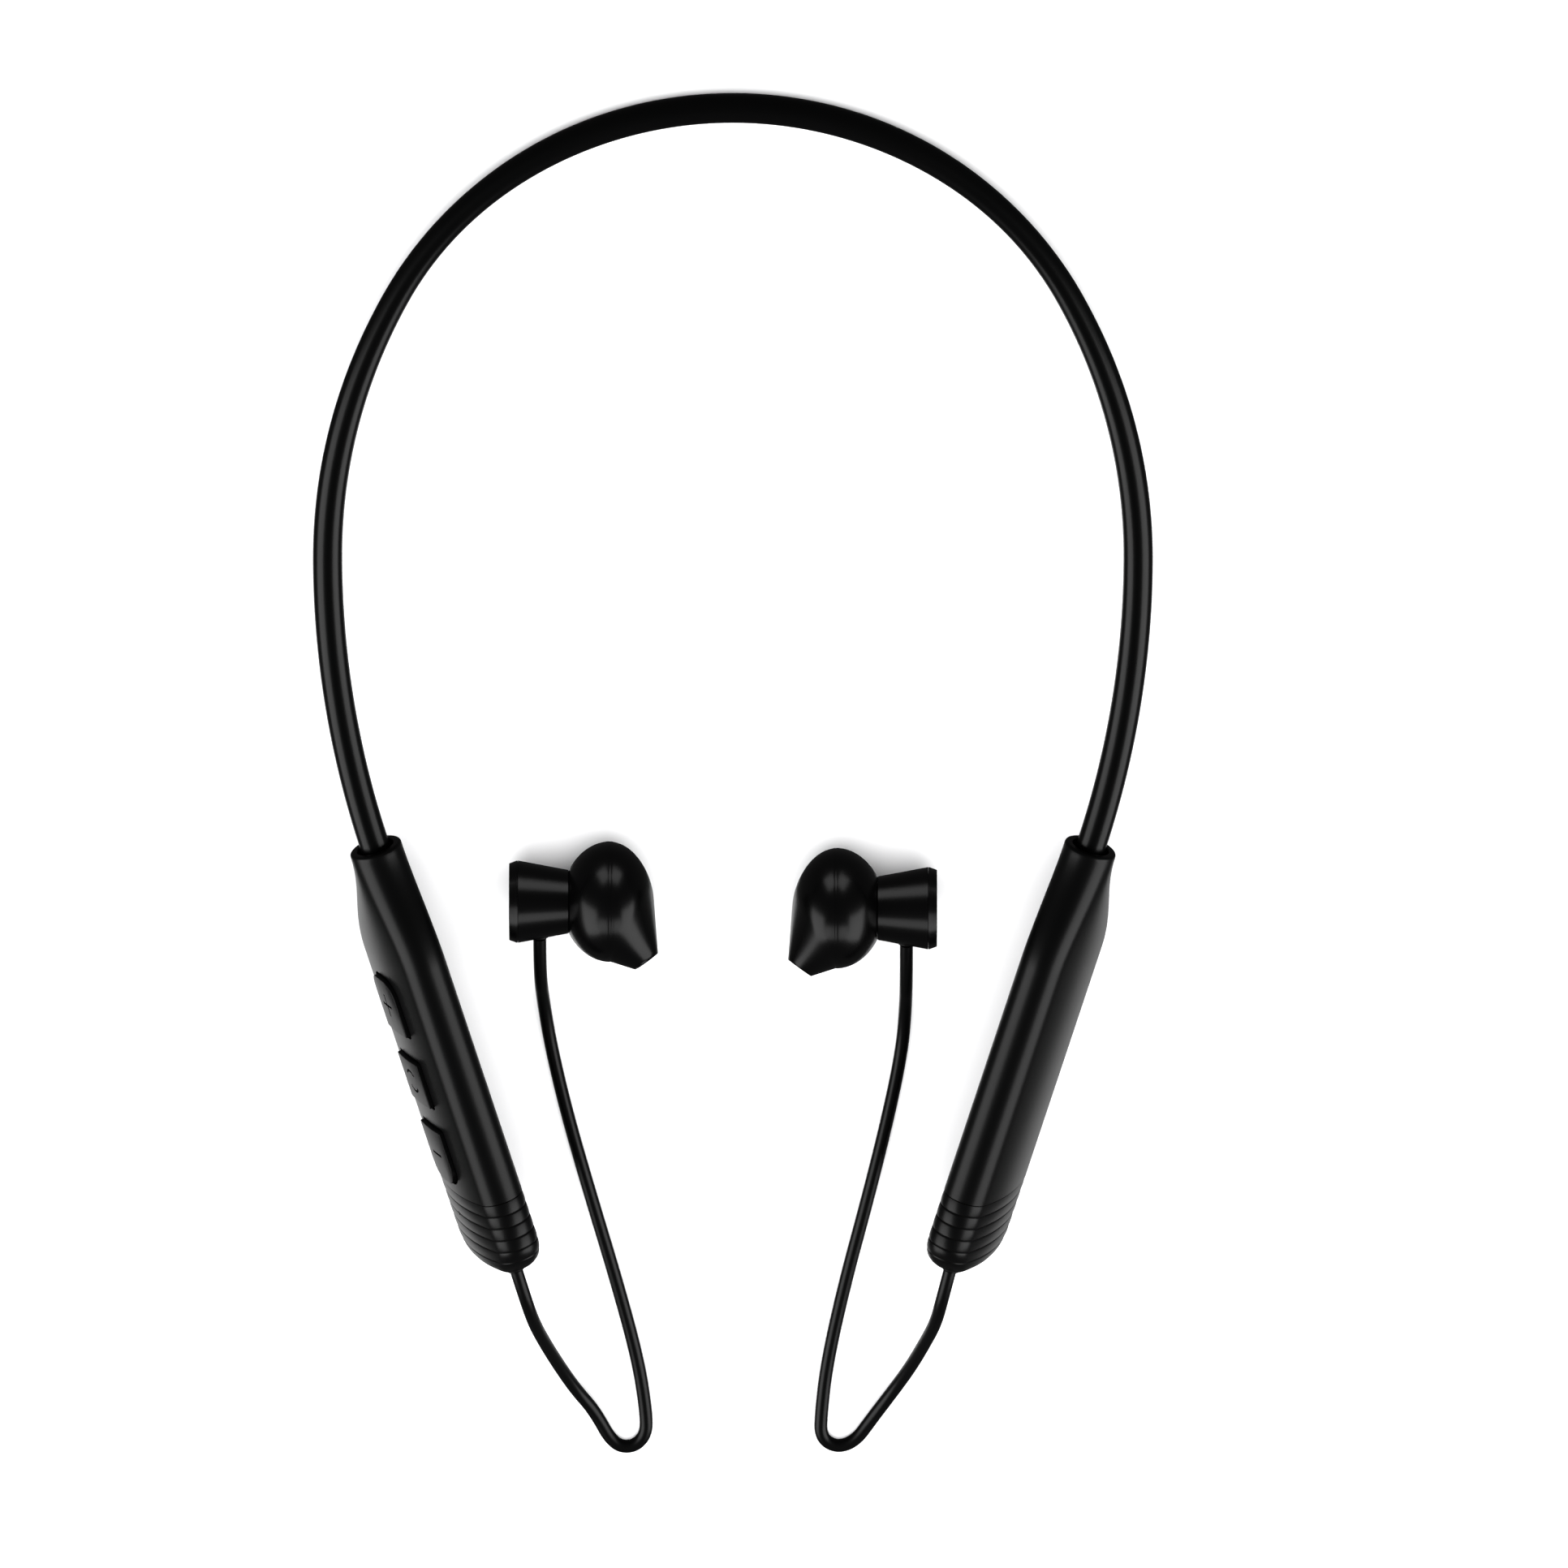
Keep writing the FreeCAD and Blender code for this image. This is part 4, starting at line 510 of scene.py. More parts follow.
def surface(name, color, roughness, grain_scale=9000.0, grain_depth=0.002, metallic=0.0,
            coat=0.0, unevenness=0.03, tone_change=0.15):
    """Material of one of the set's finishes, from the shared moulded surface."""
    group = bpy.data.node_groups.get("moulded_surface") or moulded_group()
    material = bpy.data.materials.new(name)
    material.use_nodes = True
    nodes, links = material.node_tree.nodes, material.node_tree.links
    shader = nodes["Principled BSDF"]
    shader.inputs["Metallic"].default_value = metallic
    shader.inputs["Coat Weight"].default_value = coat
    shader.inputs["Coat Roughness"].default_value = 0.12
    base = nodes.new("ShaderNodeGroup")
    base.node_tree = group
    base.inputs["Color"].default_value = color
    base.inputs["Roughness"].default_value = roughness
    base.inputs["Grain Scale"].default_value = grain_scale
    base.inputs["Unevenness"].default_value = unevenness
    base.inputs["Tone Change"].default_value = tone_change
    bump = nodes.new("ShaderNodeBump")
    bump.inputs["Strength"].default_value = 0.5
    bump.inputs["Distance"].default_value = grain_depth * MM
    links.new(base.outputs["Color"], shader.inputs["Base Color"])
    links.new(base.outputs["Roughness"], shader.inputs["Roughness"])
    links.new(base.outputs["Grain"], bump.inputs["Height"])
    links.new(bump.outputs["Normal"], shader.inputs["Normal"])
    return material


def finish_of(name):
    """The set's named finishes, each made once."""
    made = bpy.data.materials.get(name)
    if made:
        return made
    tones = bpy.context.scene.finish_tones
    recipes = {
        "pod_satin": (tones.pod, 0.33, 7000.0, 0.0015),
        "button_satin": (tones.pod, 0.36, 7000.0, 0.0015),
        # painted shade for the cut faces of the sunk marks: darker and rougher than the button around them
        "sunk_mark_painted_shade": (tones.mark_shade_tone, 0.8, 7000.0, 0.0015),
        "bud_gloss": (tones.bud, 0.25, 9000.0, 0.0006),
        "soft_touch_sleeve": (tones.sleeve, 0.28, 5000.0, 0.0012),
        "extruded_cord": (tones.cord, 0.33, 6000.0, 0.0015),
        "moulded_gland": (tones.cord, 0.5, 5000.0, 0.003),
    }
    return surface(name, *recipes[name])


# ------------------------------------------------------------------ cords
LEFT_ROUTE = [
    (-32.7, -93.8, 18.2), (-31.4, -98.4, 18.3), (-30.1, -104.2, 15.2), (-28.4, -110.2, 10.4),
    (-26.2, -116.5, 5.8), (-23.8, -122.0, 2.6), (-21.0, -126.3, 1.15), (-18.2, -132.1, 1.05),
    (-15.2, -132.6, 1.05), (-13.2, -130.4, 1.05), (-13.2, -126.6, 1.05), (-14.4, -117.8, 1.05),
    (-17.6, -104.5, 1.05), (-21.5, -90.0, 1.05), (-25.1, -76.0, 1.05), (-27.5, -64.5, 1.1),
    (-28.6, -56.0, 3.2), (-29.1, -49.0, 7.6), (-29.1, -42.2, 9.1)]
RIGHT_ROUTE = [
    (32.7, -93.8, 18.2), (31.6, -98.4, 18.3), (30.6, -104.2, 15.2), (28.9, -110.2, 10.4),
    (26.8, -116.5, 5.8), (24.3, -122.0, 2.6), (21.0, -127.6, 1.15), (18.5, -131.5, 1.05),
    (15.6, -132.6, 1.05), (13.2, -130.85, 1.05), (13.3, -126.6, 1.05), (14.2, -118.0, 1.05),
    (16.9, -104.5, 1.05), (20.4, -90.0, 1.05), (23.5, -76.0, 1.05), (25.5, -65.0, 1.1),
    (26.0, -57.0, 3.2), (26.1, -50.0, 7.6), (26.1, -43.3, 9.1)]


class EARPHONES_OT_cords(bpy.types.Operator):
    """Lays both earbud cords from their pods to their earbuds"""
    bl_idname = "earphones.cords"
    bl_label = "Cords"

    def execute(self, context):
        sizes = context.scene.cord_sizes
        for prefix, route, long in (("left", LEFT_ROUTE, sizes.left_length),
                                    ("right", RIGHT_ROUTE, sizes.right_length)):
            curve = bpy.data.curves.new(prefix + "_earbud_cord", "CURVE")
            curve.dimensions = "3D"
            curve.bevel_depth = sizes.diameter / 2
            curve.bevel_resolution = 8
            curve.resolution_u = 16
            curve.use_fill_caps = True
            spline = curve.splines.new("NURBS")
            spline.points.add(len(route) - 1)
            for point, spot in zip(spline.points, route):
                point.co = (*[value * MM for value in spot], 1.0)
            spline.order_u = 3
            spline.use_endpoint_u = True
            cord = bpy.data.objects.new(prefix + "_earbud_cord", curve)
            context.scene.collection.objects.link(cord)
            curve.materials.append(finish_of("extruded_cord"))
            settle(cord, [prefix + "_cord"], "cord_rubber")
        return {"FINISHED"}


# ------------------------------------------------------------------ neckband
STATION_SPACING = 1.6 * MM


def sleeve_radius(band, angle):
    away = (angle - band.waist_turn) / band.waist_spread
    return (band.sleeve - (band.sleeve - band.waist) * math.exp(-away ** 2)) / 2


class EARPHONES_OT_sleeve(bpy.types.Operator):
    """Skins the hollow rubber sleeve along the neckband's arcs"""
    bl_idname = "earphones.sleeve"
    bl_label = "Neckband sleeve"

    def execute(self, context):
        band = context.scene.neckband_sizes
        half = []
        for radius, start, stop in ((band.top_radius, 0.0, band.top_turn),
                                    (band.side_radius, band.top_turn, math.pi / 2),
                                    (band.end_radius, math.pi / 2, band.end_turn)):
            count = round(radius * (stop - start) / STATION_SPACING)
            for step in range(count):
                angle = start + (stop - start) * step / count
                half.append((*band_point(band, angle), sleeve_radius(band, angle)))
        end, heading = band_point(band, band.end_turn)
        for reach in (0.0, band.seat / 2, band.seat):
            half.append((end + heading * reach, heading, band.sleeve / 2))
        flip = Vector((-1.0, 1.0, 1.0))
        mirrored = [(spot * flip, heading * Vector((1.0, -1.0, 1.0)), radius)
                    for spot, heading, radius in reversed(half[1:])]
        stations = mirrored + half
        bore = [(spot, heading, band.bore / 2) for spot, heading, radius in reversed(stations)]
        rings = []
        for spot, heading, radius in stations + bore:
            across = Vector((-heading.y, heading.x, 0.0))
            ring = []
            for step in range(56):
                angle = 2 * math.pi * step / 56
                ring.append(spot + (across * math.cos(angle)
                                    + Vector((0, 0, 1)) * math.sin(angle)) * radius)
            rings.append(ring)
        piece = piece_from("neckband_sleeve", skin(rings, True), finish_of("soft_touch_sleeve"),
                           band_place(band))
        settle(piece, ["band_sleeve"], "sleeve_rubber")
        return {"FINISHED"}


# ------------------------------------------------------------------ pods
def button_rows(scene):
    """Name, near end, length and rounded ends of each button."""
    sizes = scene.button_sizes
    return (("plus_button", sizes.plus_start, sizes.outer_length, (True, False)),
            ("power_button", sizes.power_start, sizes.power_length, (False, False)),
            ("minus_button", sizes.minus_start, sizes.outer_length, (False, True)))


class EARPHONES_OT_pods(bpy.types.Operator):
    """Models both pod shells with their mouths, button windows and charging port"""
    bl_idname = "earphones.pods"
    bl_label = "Pod shells"

    def execute(self, context):
        scene = context.scene
        pod, band, sizes = scene.pod_sizes, scene.neckband_sizes, scene.button_sizes
        for prefix, side in SIDES:
            place = pod_place(scene, side)
            socket = band.sleeve / 2 + 0.05 * MM
            throat = pod.blend * 0.45
            rings = [round_ring(pod.web / 2, throat), round_ring(pod.web / 2, band.seat),
                     round_ring(socket, band.seat), round_ring(socket, pod.recess_depth),
                     round_ring(pod.recess / 2, pod.recess_depth),
                     round_ring(pod.recess / 2, 0.12 * MM), round_ring(pod.recess / 2 + 0.12 * MM, 0.0)]
            steps = 6
            for step in range(steps + 1):
                angle = math.pi / 2 * step / steps
                rings.append(pod_ring(pod, pod.rim_round * (1 - math.cos(angle)),
                                      pod.rim_round * (1 - math.sin(angle))))
            count = 44
            for step in range(1, count + 1):
                rings.append(pod_ring(pod, pod.rim_round + (pod.blend - pod.rim_round) * step / count))
            straight = pod.seam - pod.ring_half
            for step in range(1, 21):
                rings.append(pod_ring(pod, pod.blend + (straight - pod.blend) * step / 20))
            rings.append(pod_ring(pod, pod.seam - 0.01 * MM, pod.ring_depth))
            rings.append(pod_ring(pod, pod.seam - 0.01 * MM, pod.wall))
            for step in range(1, 11):
                rings.append(pod_ring(pod, pod.seam - (pod.seam - pod.blend) * step / 10, pod.wall))
            piece = piece_from(prefix + "_pod", skin(rings, True), finish_of("pod_satin"), place)
            cutters = []
            if side < 0:
                for _, start, long, rounded in button_rows(scene):
                    outline = [button_ring(sizes, pod, start, long, rounded, sizes.gap, depth)
                               for depth in (-pod.thick, -pod.thick / 2 + pod.wall + 0.6 * MM)]
                    shape = skin(outline, False)
                    bmesh.ops.transform(shape, matrix=place, verts=shape.verts)
                    cutters.append(shape)
            else:
                cutters.append(self.port(pod, place))
            carve(piece, cutters)
            settle(piece, [prefix + "_pod_shell"], "pod_plastic")
        return {"FINISHED"}

    def port(self, pod, place):
        """Cutter of the charging port in the lower edge, in line with its socket."""
        low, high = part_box("charging_socket")
        local = place.inverted() @ ((low + high) / 2)
        outline = []
        for y in (-pod.offset - pod.wide, -pod.offset - pod.wide / 4):
            ring = []
            for centre, begin in ((pod.port_half, -90.0), (-pod.port_half, 90.0)):
                for step in range(13):
                    angle = math.radians(begin + 180.0 * step / 12)
                    ring.append(Vector((pod.port_round * math.sin(angle), y, local.z + centre
                                        + pod.port_round * math.cos(angle))))
            outline.append(ring)
        shape = skin(outline, False)
        bmesh.ops.transform(shape, matrix=place, verts=shape.verts)
        return shape


class EARPHONES_OT_tip_caps(bpy.types.Operator):
    """Models both tip caps with their ring grooves, dome and cord hole"""
    bl_idname = "earphones.tip_caps"
    bl_label = "Tip caps"

    def execute(self, context):
        scene = context.scene
        pod, cords = scene.pod_sizes, scene.cord_sizes
        start = pod.length - pod.dome
        fine = 0.02 * MM
        for prefix, side in SIDES:
            place = pod_place(scene, side)
            low = pod.seam - pod.spigot
            inner = pod.wall + 0.1 * MM
            hollow = inner + pod.spigot_wall
            rings = [pod_ring(pod, start, hollow), pod_ring(pod, low, hollow),
                     pod_ring(pod, low, inner), pod_ring(pod, pod.seam + fine, inner),
                     pod_ring(pod, pod.seam + fine, pod.ring_depth)]
            # each band is crowned between the grooves at its two ends
            for number in range(pod.rings):
                begin = pod.seam + pod.ring_pitch * number
                for share in (0.05, 0.15, 0.3, 0.5, 0.7, 0.85, 0.95):
                    level = begin + pod.ring_pitch * share
                    crown = pod.ring_crown * (2 * share - 1) ** 2
                    rings.append(dome_ring(pod, level, crown))
                rings.append(dome_ring(pod, begin + pod.ring_pitch, pod.ring_depth))
            last = pod.seam + pod.ring_pitch * pod.rings
            for share in (0.08, 0.3, 0.5, 0.62, 0.74, 0.84, 0.91, 0.96, 0.99, 1.0):
                rings.append(dome_ring(pod, last + (pod.length - last) * share))
            piece = piece_from(prefix + "_pod_tip", skin(rings, False), finish_of("pod_satin"), place)
            cutters = [rod_shape(cords.gland_hole, pod.length - 8 * MM, pod.length + 2 * MM, place)]
            if side < 0:
                port = place @ Matrix.Translation((0, -pod.offset - 2.5 * MM, pod.seam + 4 * MM))
                port = port @ Matrix.Rotation(-math.pi / 2, 4, "Y")
                cutters.append(rod_shape(pod.microphone, pod.thick / 2 - 0.8 * MM, pod.thick, port, 24))
            carve(piece, cutters)
            settle(piece, [prefix + "_tip_cap"], "pod_plastic")
            cord_gland(cords, prefix + "_tip_gland", prefix + "_pod_grommet", place,
                       pod.length - 2.5 * MM, pod.length + 0.1 * MM, pod.length + 0.2 * MM)
        return {"FINISHED"}


class EARPHONES_OT_buttons(bpy.types.Operator):
    """Models the three buttons with their curved faces and cut marks"""
    bl_idname = "earphones.buttons"
    bl_label = "Buttons"

    def execute(self, context):
        scene = context.scene
        pod, sizes = scene.pod_sizes, scene.button_sizes
        place = pod_place(scene, -1)
        reach = pod.wide / 2 - pod.end_radius
        big = ((pod.thick / 2) ** 2 + reach ** 2 - pod.end_radius ** 2) / (
            2 * (pod.thick / 2 - pod.end_radius))
        middle = -pod.offset - sizes.drop
        for name, start, long, rounded in button_rows(scene):
            base = -pod.thick / 2 + pod.wall + 0.5 * MM
            shape = bmesh.new()
            ring = button_ring(sizes, pod, start, long, rounded, 0.0, base)
            face = shape.faces.new([shape.verts.new(point) for point in ring])
            grown = bmesh.ops.extrude_face_region(shape, geom=[face])["geom"]
            top = [v for v in grown if isinstance(v, bmesh.types.BMVert)]
            bmesh.ops.translate(shape, verts=top, vec=(-sizes.deep, 0, 0))
            for step in range(1, 12):
                y = middle - sizes.wide / 2 + sizes.wide * step / 12
                bmesh.ops.bisect_plane(shape, geom=shape.verts[:] + shape.edges[:] + shape.faces[:],
                                       dist=1e-7, plane_co=(0, y, 0), plane_no=(0, 1, 0))
            for vert in shape.verts:
                if vert.co.x < base - sizes.deep / 2:
                    away = vert.co.y + pod.offset
                    drop = big - math.sqrt(big ** 2 - away ** 2)
                    vert.co.x = -(pod.thick / 2 + sizes.proud) + drop
            bmesh.ops.recalc_face_normals(shape, faces=shape.faces)
            rim = [edge for edge in shape.edges if edge.calc_face_angle(0.0) > math.radians(50)
                   and min(v.co.x for v in edge.verts) < base - 0.5 * MM
                   and max(v.co.x for v in edge.verts) < base - 0.5 * MM]
            bmesh.ops.bevel(shape, geom=rim, offset=sizes.edge, offset_type="OFFSET", segments=3,
                            profile=0.5, affect="EDGES", material=-1, clamp_overlap=True)
            piece = piece_from(name + "_cap", shape, finish_of("button_satin"), place, 40.0)
            # the cut faces of the marks take the painted shade material, so the sunk marks read darker than
            # the button face
            carve(piece, self.marks(pod, sizes, name, middle, start + long / 2, place),
                  finish_of("sunk_mark_painted_shade"))
            body = name.replace("_button", "_key")
            settle(piece, [name], "button_plastic", body)
        return {"FINISHED"}

    def marks(self, pod, sizes, name, y, z, place):
        """Cutters of the plus, minus and broken ring marks."""
        floor = -(pod.thick / 2 + sizes.proud) + sizes.mark_depth
        deep = 2 * MM
        shapes = []
        if name == "power_button":
            for begin in (35.0, 215.0):
                shape = bmesh.new()
                radius, half = sizes.ring_mark / 2, sizes.mark_line / 2
                verts = [shape.verts.new((x, r, 0)) for x, r in (
                    (0, radius - half), (0, radius + half), (-deep, radius + half),
                    (-deep, radius - half))]
                face = shape.faces.new(verts)
                bmesh.ops.rotate(shape, cent=(0, 0, 0), verts=verts,
                                 matrix=Matrix.Rotation(math.radians(begin), 3, "X"))
                bmesh.ops.spin(shape, geom=[face, *face.edges, *verts], cent=(0, 0, 0),
                               axis=(1, 0, 0), dvec=(0, 0, 0), angle=math.radians(110.0),
                               steps=28, use_merge=False)
                bmesh.ops.recalc_face_normals(shape, faces=shape.faces)
                stand = place @ Matrix.Translation((floor, y, z))
                bmesh.ops.transform(shape, matrix=stand, verts=shape.verts)
                shapes.append(shape)
            return shapes
        bars = [(sizes.mark, sizes.mark_line)]
        if name == "plus_button":
            bars.append((sizes.mark_line, sizes.mark))
        for across, along in bars:
            shape = bmesh.new()
            stand = place @ Matrix.Translation((floor - deep / 2, y, z))
            stand = stand @ Matrix.Diagonal((deep, across, along, 1.0))
            bmesh.ops.create_cube(shape, size=1.0, matrix=stand)
            shapes.append(shape)
        return shapes


# ------------------------------------------------------------------ earbuds
def front_curve(bud, seam, angle, steps):
    """Curve from the seam over the front oval, then straight to the nozzle's rim."""
    radius, swell = bud.diameter / 2, bud.front
    side = math.pi - abs(math.pi - angle)
    sign = 1.0 if angle <= math.pi else -1.0
    end_polar = math.pi / 2 * (math.cos(side / 2) ** 2) ** 0.585
    points = []
    arcs = 20
    for step in range(arcs + 1):
        share = step / arcs
        polar = math.pi / 2 + (end_polar - math.pi / 2) * share
        around = side * (1 - 0.2 * share)
        points.append(Vector((radius * math.sin(polar) * math.cos(around),
                              sign * radius * math.sin(polar) * math.sin(around),
                              seam + swell * math.cos(polar))))
    across = Vector((math.cos(bud.angle), 0.0, -math.sin(bud.angle)))
    rim = Vector((bud.out, 0.0, seam + bud.ahead))
    rim += (across * math.cos(angle) + Vector((0, 1, 0)) * math.sin(angle)) * bud.nozzle / 2
    points.append(rim)
    spans = [0.0]
    for before, after in zip(points, points[1:]):
        spans.append(spans[-1] + (after - before).length)
    even = []
    for step in range(steps + 1):
        want = spans[-1] * step / steps
        number = max(i for i in range(len(spans) - 1) if spans[i] <= want + 1e-12)
        part = (want - spans[number]) / max(spans[number + 1] - spans[number], 1e-12)
        even.append(points[number].lerp(points[number + 1], min(part, 1.0)))
    return even


class EARPHONES_OT_earbuds(bpy.types.Operator):
    """Models the earbuds: back cap, rear cone, both shells, nozzle mesh and gland"""
    bl_idname = "earphones.earbuds"
    bl_label = "Earbuds"

    def execute(self, context):
        scene = context.scene
        bud = scene.earbud_sizes
        cone_end = bud.cap_thick + bud.cone
        seam = cone_end + bud.rear
        groove = 0.05 * MM
        for prefix, side in SIDES:
            place = bud_place(scene, prefix, side)
            gloss = finish_of("bud_gloss")
            cap = turned((
                (0.0, 0.0), (bud.face / 2 - 0.1 * MM, 0.0), (bud.face / 2, 0.06 * MM),
                (bud.cap / 2 - 0.06 * MM, bud.cap_thick - 0.3 * MM),
                (bud.cap / 2, bud.cap_thick - 0.15 * MM), (bud.cap / 2 - 0.06 * MM, bud.cap_thick),
                (0.0, bud.cap_thick)))
            settle(piece_from(prefix + "_back_cap", cap, gloss, place),
                   [prefix + "_magnet_cap"], "bud_cap")
            start = bud.cap_thick + 0.02 * MM
            inner = bud.cap / 2 - 1.0 * MM
            cone = turned((
                (inner, start), (bud.cap / 2 - 0.06 * MM, start), (bud.cap / 2, start + 0.06 * MM),
                (bud.neck / 2 + 0.04 * MM, cone_end - 0.1 * MM), (bud.neck / 2 - 0.1 * MM, cone_end),
                (1.2 * MM, cone_end), (1.2 * MM, cone_end - 1.2 * MM),
                (bud.neck / 2 - 1.0 * MM, cone_end - 1.2 * MM)))
            cone_piece = piece_from(prefix + "_cone", cone, gloss, place)
            roll = bud.roll_left if side < 0 else bud.roll_right
            down = place @ Matrix.Rotation(-side * roll, 4, "Z")
            entry = down @ Matrix.Translation((0, 0, bud.cord_entry)) @ Matrix.Rotation(math.pi / 2, 4, "Y")
            carve(cone_piece, [rod_shape(scene.cord_sizes.gland_hole, 3 * MM, 9 * MM, entry)])
            settle(cone_piece, [prefix + "_rear_cone"], "bud_plastic")
            at = bud.cap / 2 - (bud.cap - bud.neck) / 2 * (bud.cord_entry - bud.cap_thick) / bud.cone
            cord_gland(scene.cord_sizes, prefix + "_cord_gland", prefix + "_bud_grommet", entry,
                       at - 1.2 * MM, at + 0.12 * MM, at + 0.2 * MM)
            swell = bud.rear / math.sqrt(1 - (bud.neck / bud.diameter) ** 2)
            outline = []
            steps = 28
            for step in range(steps + 1):
                height = bud.rear * (1 - step / steps) * 0.998
                radius = bud.diameter / 2 * math.sqrt(1 - (height / swell) ** 2)
                inset = groove if step == steps else 0.0
                outline.append((radius - inset, seam - height))
            outline.append((bud.diameter / 2 - bud.wall, seam))
            for step in range(steps + 1):
                height = (bud.rear - 0.8 * MM) * step / steps
                radius = (bud.diameter / 2 - bud.wall) * math.sqrt(1 - (height / (swell - bud.wall)) ** 2)
                outline.append((radius, seam - height))
            outline.append((1.2 * MM, seam - bud.rear + 0.8 * MM))
            outline.append((1.2 * MM, seam - bud.rear * 0.998))
            settle(piece_from(prefix + "_rear_bowl", turned(outline), gloss, place),
                   [prefix + "_rear_shell"], "bud_plastic")
            self.front(bud, prefix, seam, place, gloss)
            self.mesh_screen(bud, prefix, seam, place)
        return {"FINISHED"}

    def front(self, bud, prefix, seam, place, gloss):
        """Front shell: skinned from the seam to the nozzle's rim, then given its wall."""
        around, steps = 96, 34
        curves = [front_curve(bud, seam, 2 * math.pi * i / around, steps) for i in range(around)]
        rings = [[curve[step] for curve in curves] for step in range(steps + 1)]
        shape = skin(rings, False)
        lids = [f for f in shape.faces if len(f.verts) > 4]
        bmesh.ops.delete(shape, geom=lids, context="FACES_ONLY")
        inside = [v for v in shape.verts if not v.is_boundary]
        for _ in range(6):
            bmesh.ops.smooth_vert(shape, verts=inside, factor=0.5, use_axis_x=True,
                                  use_axis_y=True, use_axis_z=True)
        piece = piece_from(prefix + "_front_bowl", shape, gloss, place, 0)
        wall = piece.modifiers.new("wall", "SOLIDIFY")
        wall.thickness = bud.front_wall
        wall.offset = -1.0
        edge = piece.modifiers.new("edge", "BEVEL")
        edge.width = 0.06 * MM
        edge.segments = 2
        edge.limit_method = "ANGLE"
        edge.angle_limit = math.radians(55.0)
        carve(piece, [])
        piece.data.shade_smooth()
        piece.data.set_sharp_from_angle(angle=math.radians(35.0))
        settle(piece, [prefix + "_front_shell"], "bud_plastic")

    def mesh_screen(self, bud, prefix, seam, place):
        """Round screen of square openings, set back in the nozzle."""
        shape = bmesh.new()
        half = bud.nozzle_bore / 2
        bmesh.ops.create_grid(shape, x_segments=12, y_segments=12, size=half * 1.02)
        holes = bmesh.ops.inset_individual(shape, faces=shape.faces[:], thickness=bud.screen_wire,
                                           use_even_offset=True)
        rims = set(holes["faces"])
        openings = [f for f in shape.faces if f not in rims]
        bmesh.ops.delete(shape, geom=openings, context="FACES")
        outside = [f for f in shape.faces if f.calc_center_median().length > half]
        bmesh.ops.delete(shape, geom=outside, context="FACES")
        axis = Vector((math.sin(bud.angle), 0.0, math.cos(bud.angle)))
        across = Vector((math.cos(bud.angle), 0.0, -math.sin(bud.angle)))
        rim = Vector((bud.out, 0.0, seam + bud.ahead)) - axis * bud.screen_back
        stand = place @ axes_matrix(across, axis.cross(across), axis, rim)
        steel = surface("screen_steel", (0.02, 0.02, 0.022, 1), 0.4, metallic=0.8)
        piece = piece_from(prefix + "_nozzle_screen", shape, steel, stand, 0)
        thickness = piece.modifiers.new("wire", "SOLIDIFY")
        thickness.thickness = bud.screen_thick
        settle(piece, [prefix + "_nozzle_mesh"], "mesh_steel")


# ------------------------------------------------------------------ inner parts
INNER_FINISHES = {
    # finish: colour, roughness, metallic, nodes whose names end with one of these words
    "spring_steel": ((0.55, 0.55, 0.57, 1), 0.3, 1.0, ("memory_wire",)),
    "cable_jacket": ((0.25, 0.04, 0.03, 1), 0.45, 0.0, ("band_cable",)),
    "crimped_steel": ((0.5, 0.5, 0.52, 1), 0.35, 1.0, ("wire_ferrule",)),
    "solder_mask": ((0.01, 0.09, 0.04, 1), 0.35, 0.0, ("main_board", "charging_board")),
    "plated_can": ((0.66, 0.66, 0.64, 1), 0.28, 1.0,
                   ("tact_switches", "bluetooth_module", "microphone", "charging_socket")),
    "black_component": ((0.02, 0.02, 0.02, 1), 0.5, 0.0, ("power_chip", "socket_tongue")),
    "milky_silicone": ((0.5, 0.5, 0.5, 1), 0.5, 0.0, ("switch_membrane",)),
    "clear_lens": ((0.8, 0.8, 0.75, 1), 0.15, 0.0, ("status_lamp",)),
    "zinc_screw": ((0.5, 0.5, 0.48, 1), 0.35, 1.0, ("board_screws",)),
    "cell_foil": ((0.62, 0.64, 0.66, 1), 0.32, 1.0, ("battery_cell",)),
    "dark_foam": ((0.05, 0.05, 0.05, 1), 0.9, 0.0, ("battery_foam",)),
    "nickel_magnet": ((0.62, 0.6, 0.56, 1), 0.22, 1.0, ("cap_magnet", "driver_magnet")),
    "stamped_basket": ((0.12, 0.12, 0.12, 1), 0.45, 0.6, ("driver_frame",)),
    "wound_copper": ((0.6, 0.22, 0.08, 1), 0.35, 1.0, ("voice_coil",)),
    "clear_film": ((0.55, 0.55, 0.5, 1), 0.2, 0.0, ("diaphragm",)),
}


class EARPHONES_OT_inner_parts(bpy.types.Operator):
    """Gives the parts inside the pods and earbuds their finishes"""
    bl_idname = "earphones.inner_parts"
    bl_label = "Inner parts"

    def execute(self, context):
        for finish, (color, roughness, metallic, endings) in INNER_FINISHES.items():
            material = surface(finish, color, roughness, 2500.0, 0.004, metallic)
            for name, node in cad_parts.items():
                if name.endswith(endings):
                    node.data.materials.clear()
                    node.data.materials.append(material)
        return {"FINISHED"}


# ------------------------------------------------------------------ studio
def soft_light(name, direction, distance, wide, tall, radiance, target, only=None):
    """Rectangular light in a direction, its long side along Y, aimed at a point.

    With a collection given, it lights only what is in it.
    """
    light = bpy.data.lights.new(name, "AREA")
    light.shape = "RECTANGLE"
    light.size = wide
    light.size_y = tall
    light.energy = radiance * math.pi * wide * tall
    lamp = bpy.data.objects.new(name, light)
    away = Vector(direction).normalized()
    along = Vector((0.0, 1.0, 0.0))
    along = (along - away * along.dot(away)).normalized()
    lamp.matrix_world = axes_matrix(along.cross(away), along, away, target + away * distance)
    lamp.visible_camera = False
    if only is not None:
        lamp.light_linking.receiver_collection = only
    bpy.context.scene.collection.objects.link(lamp)


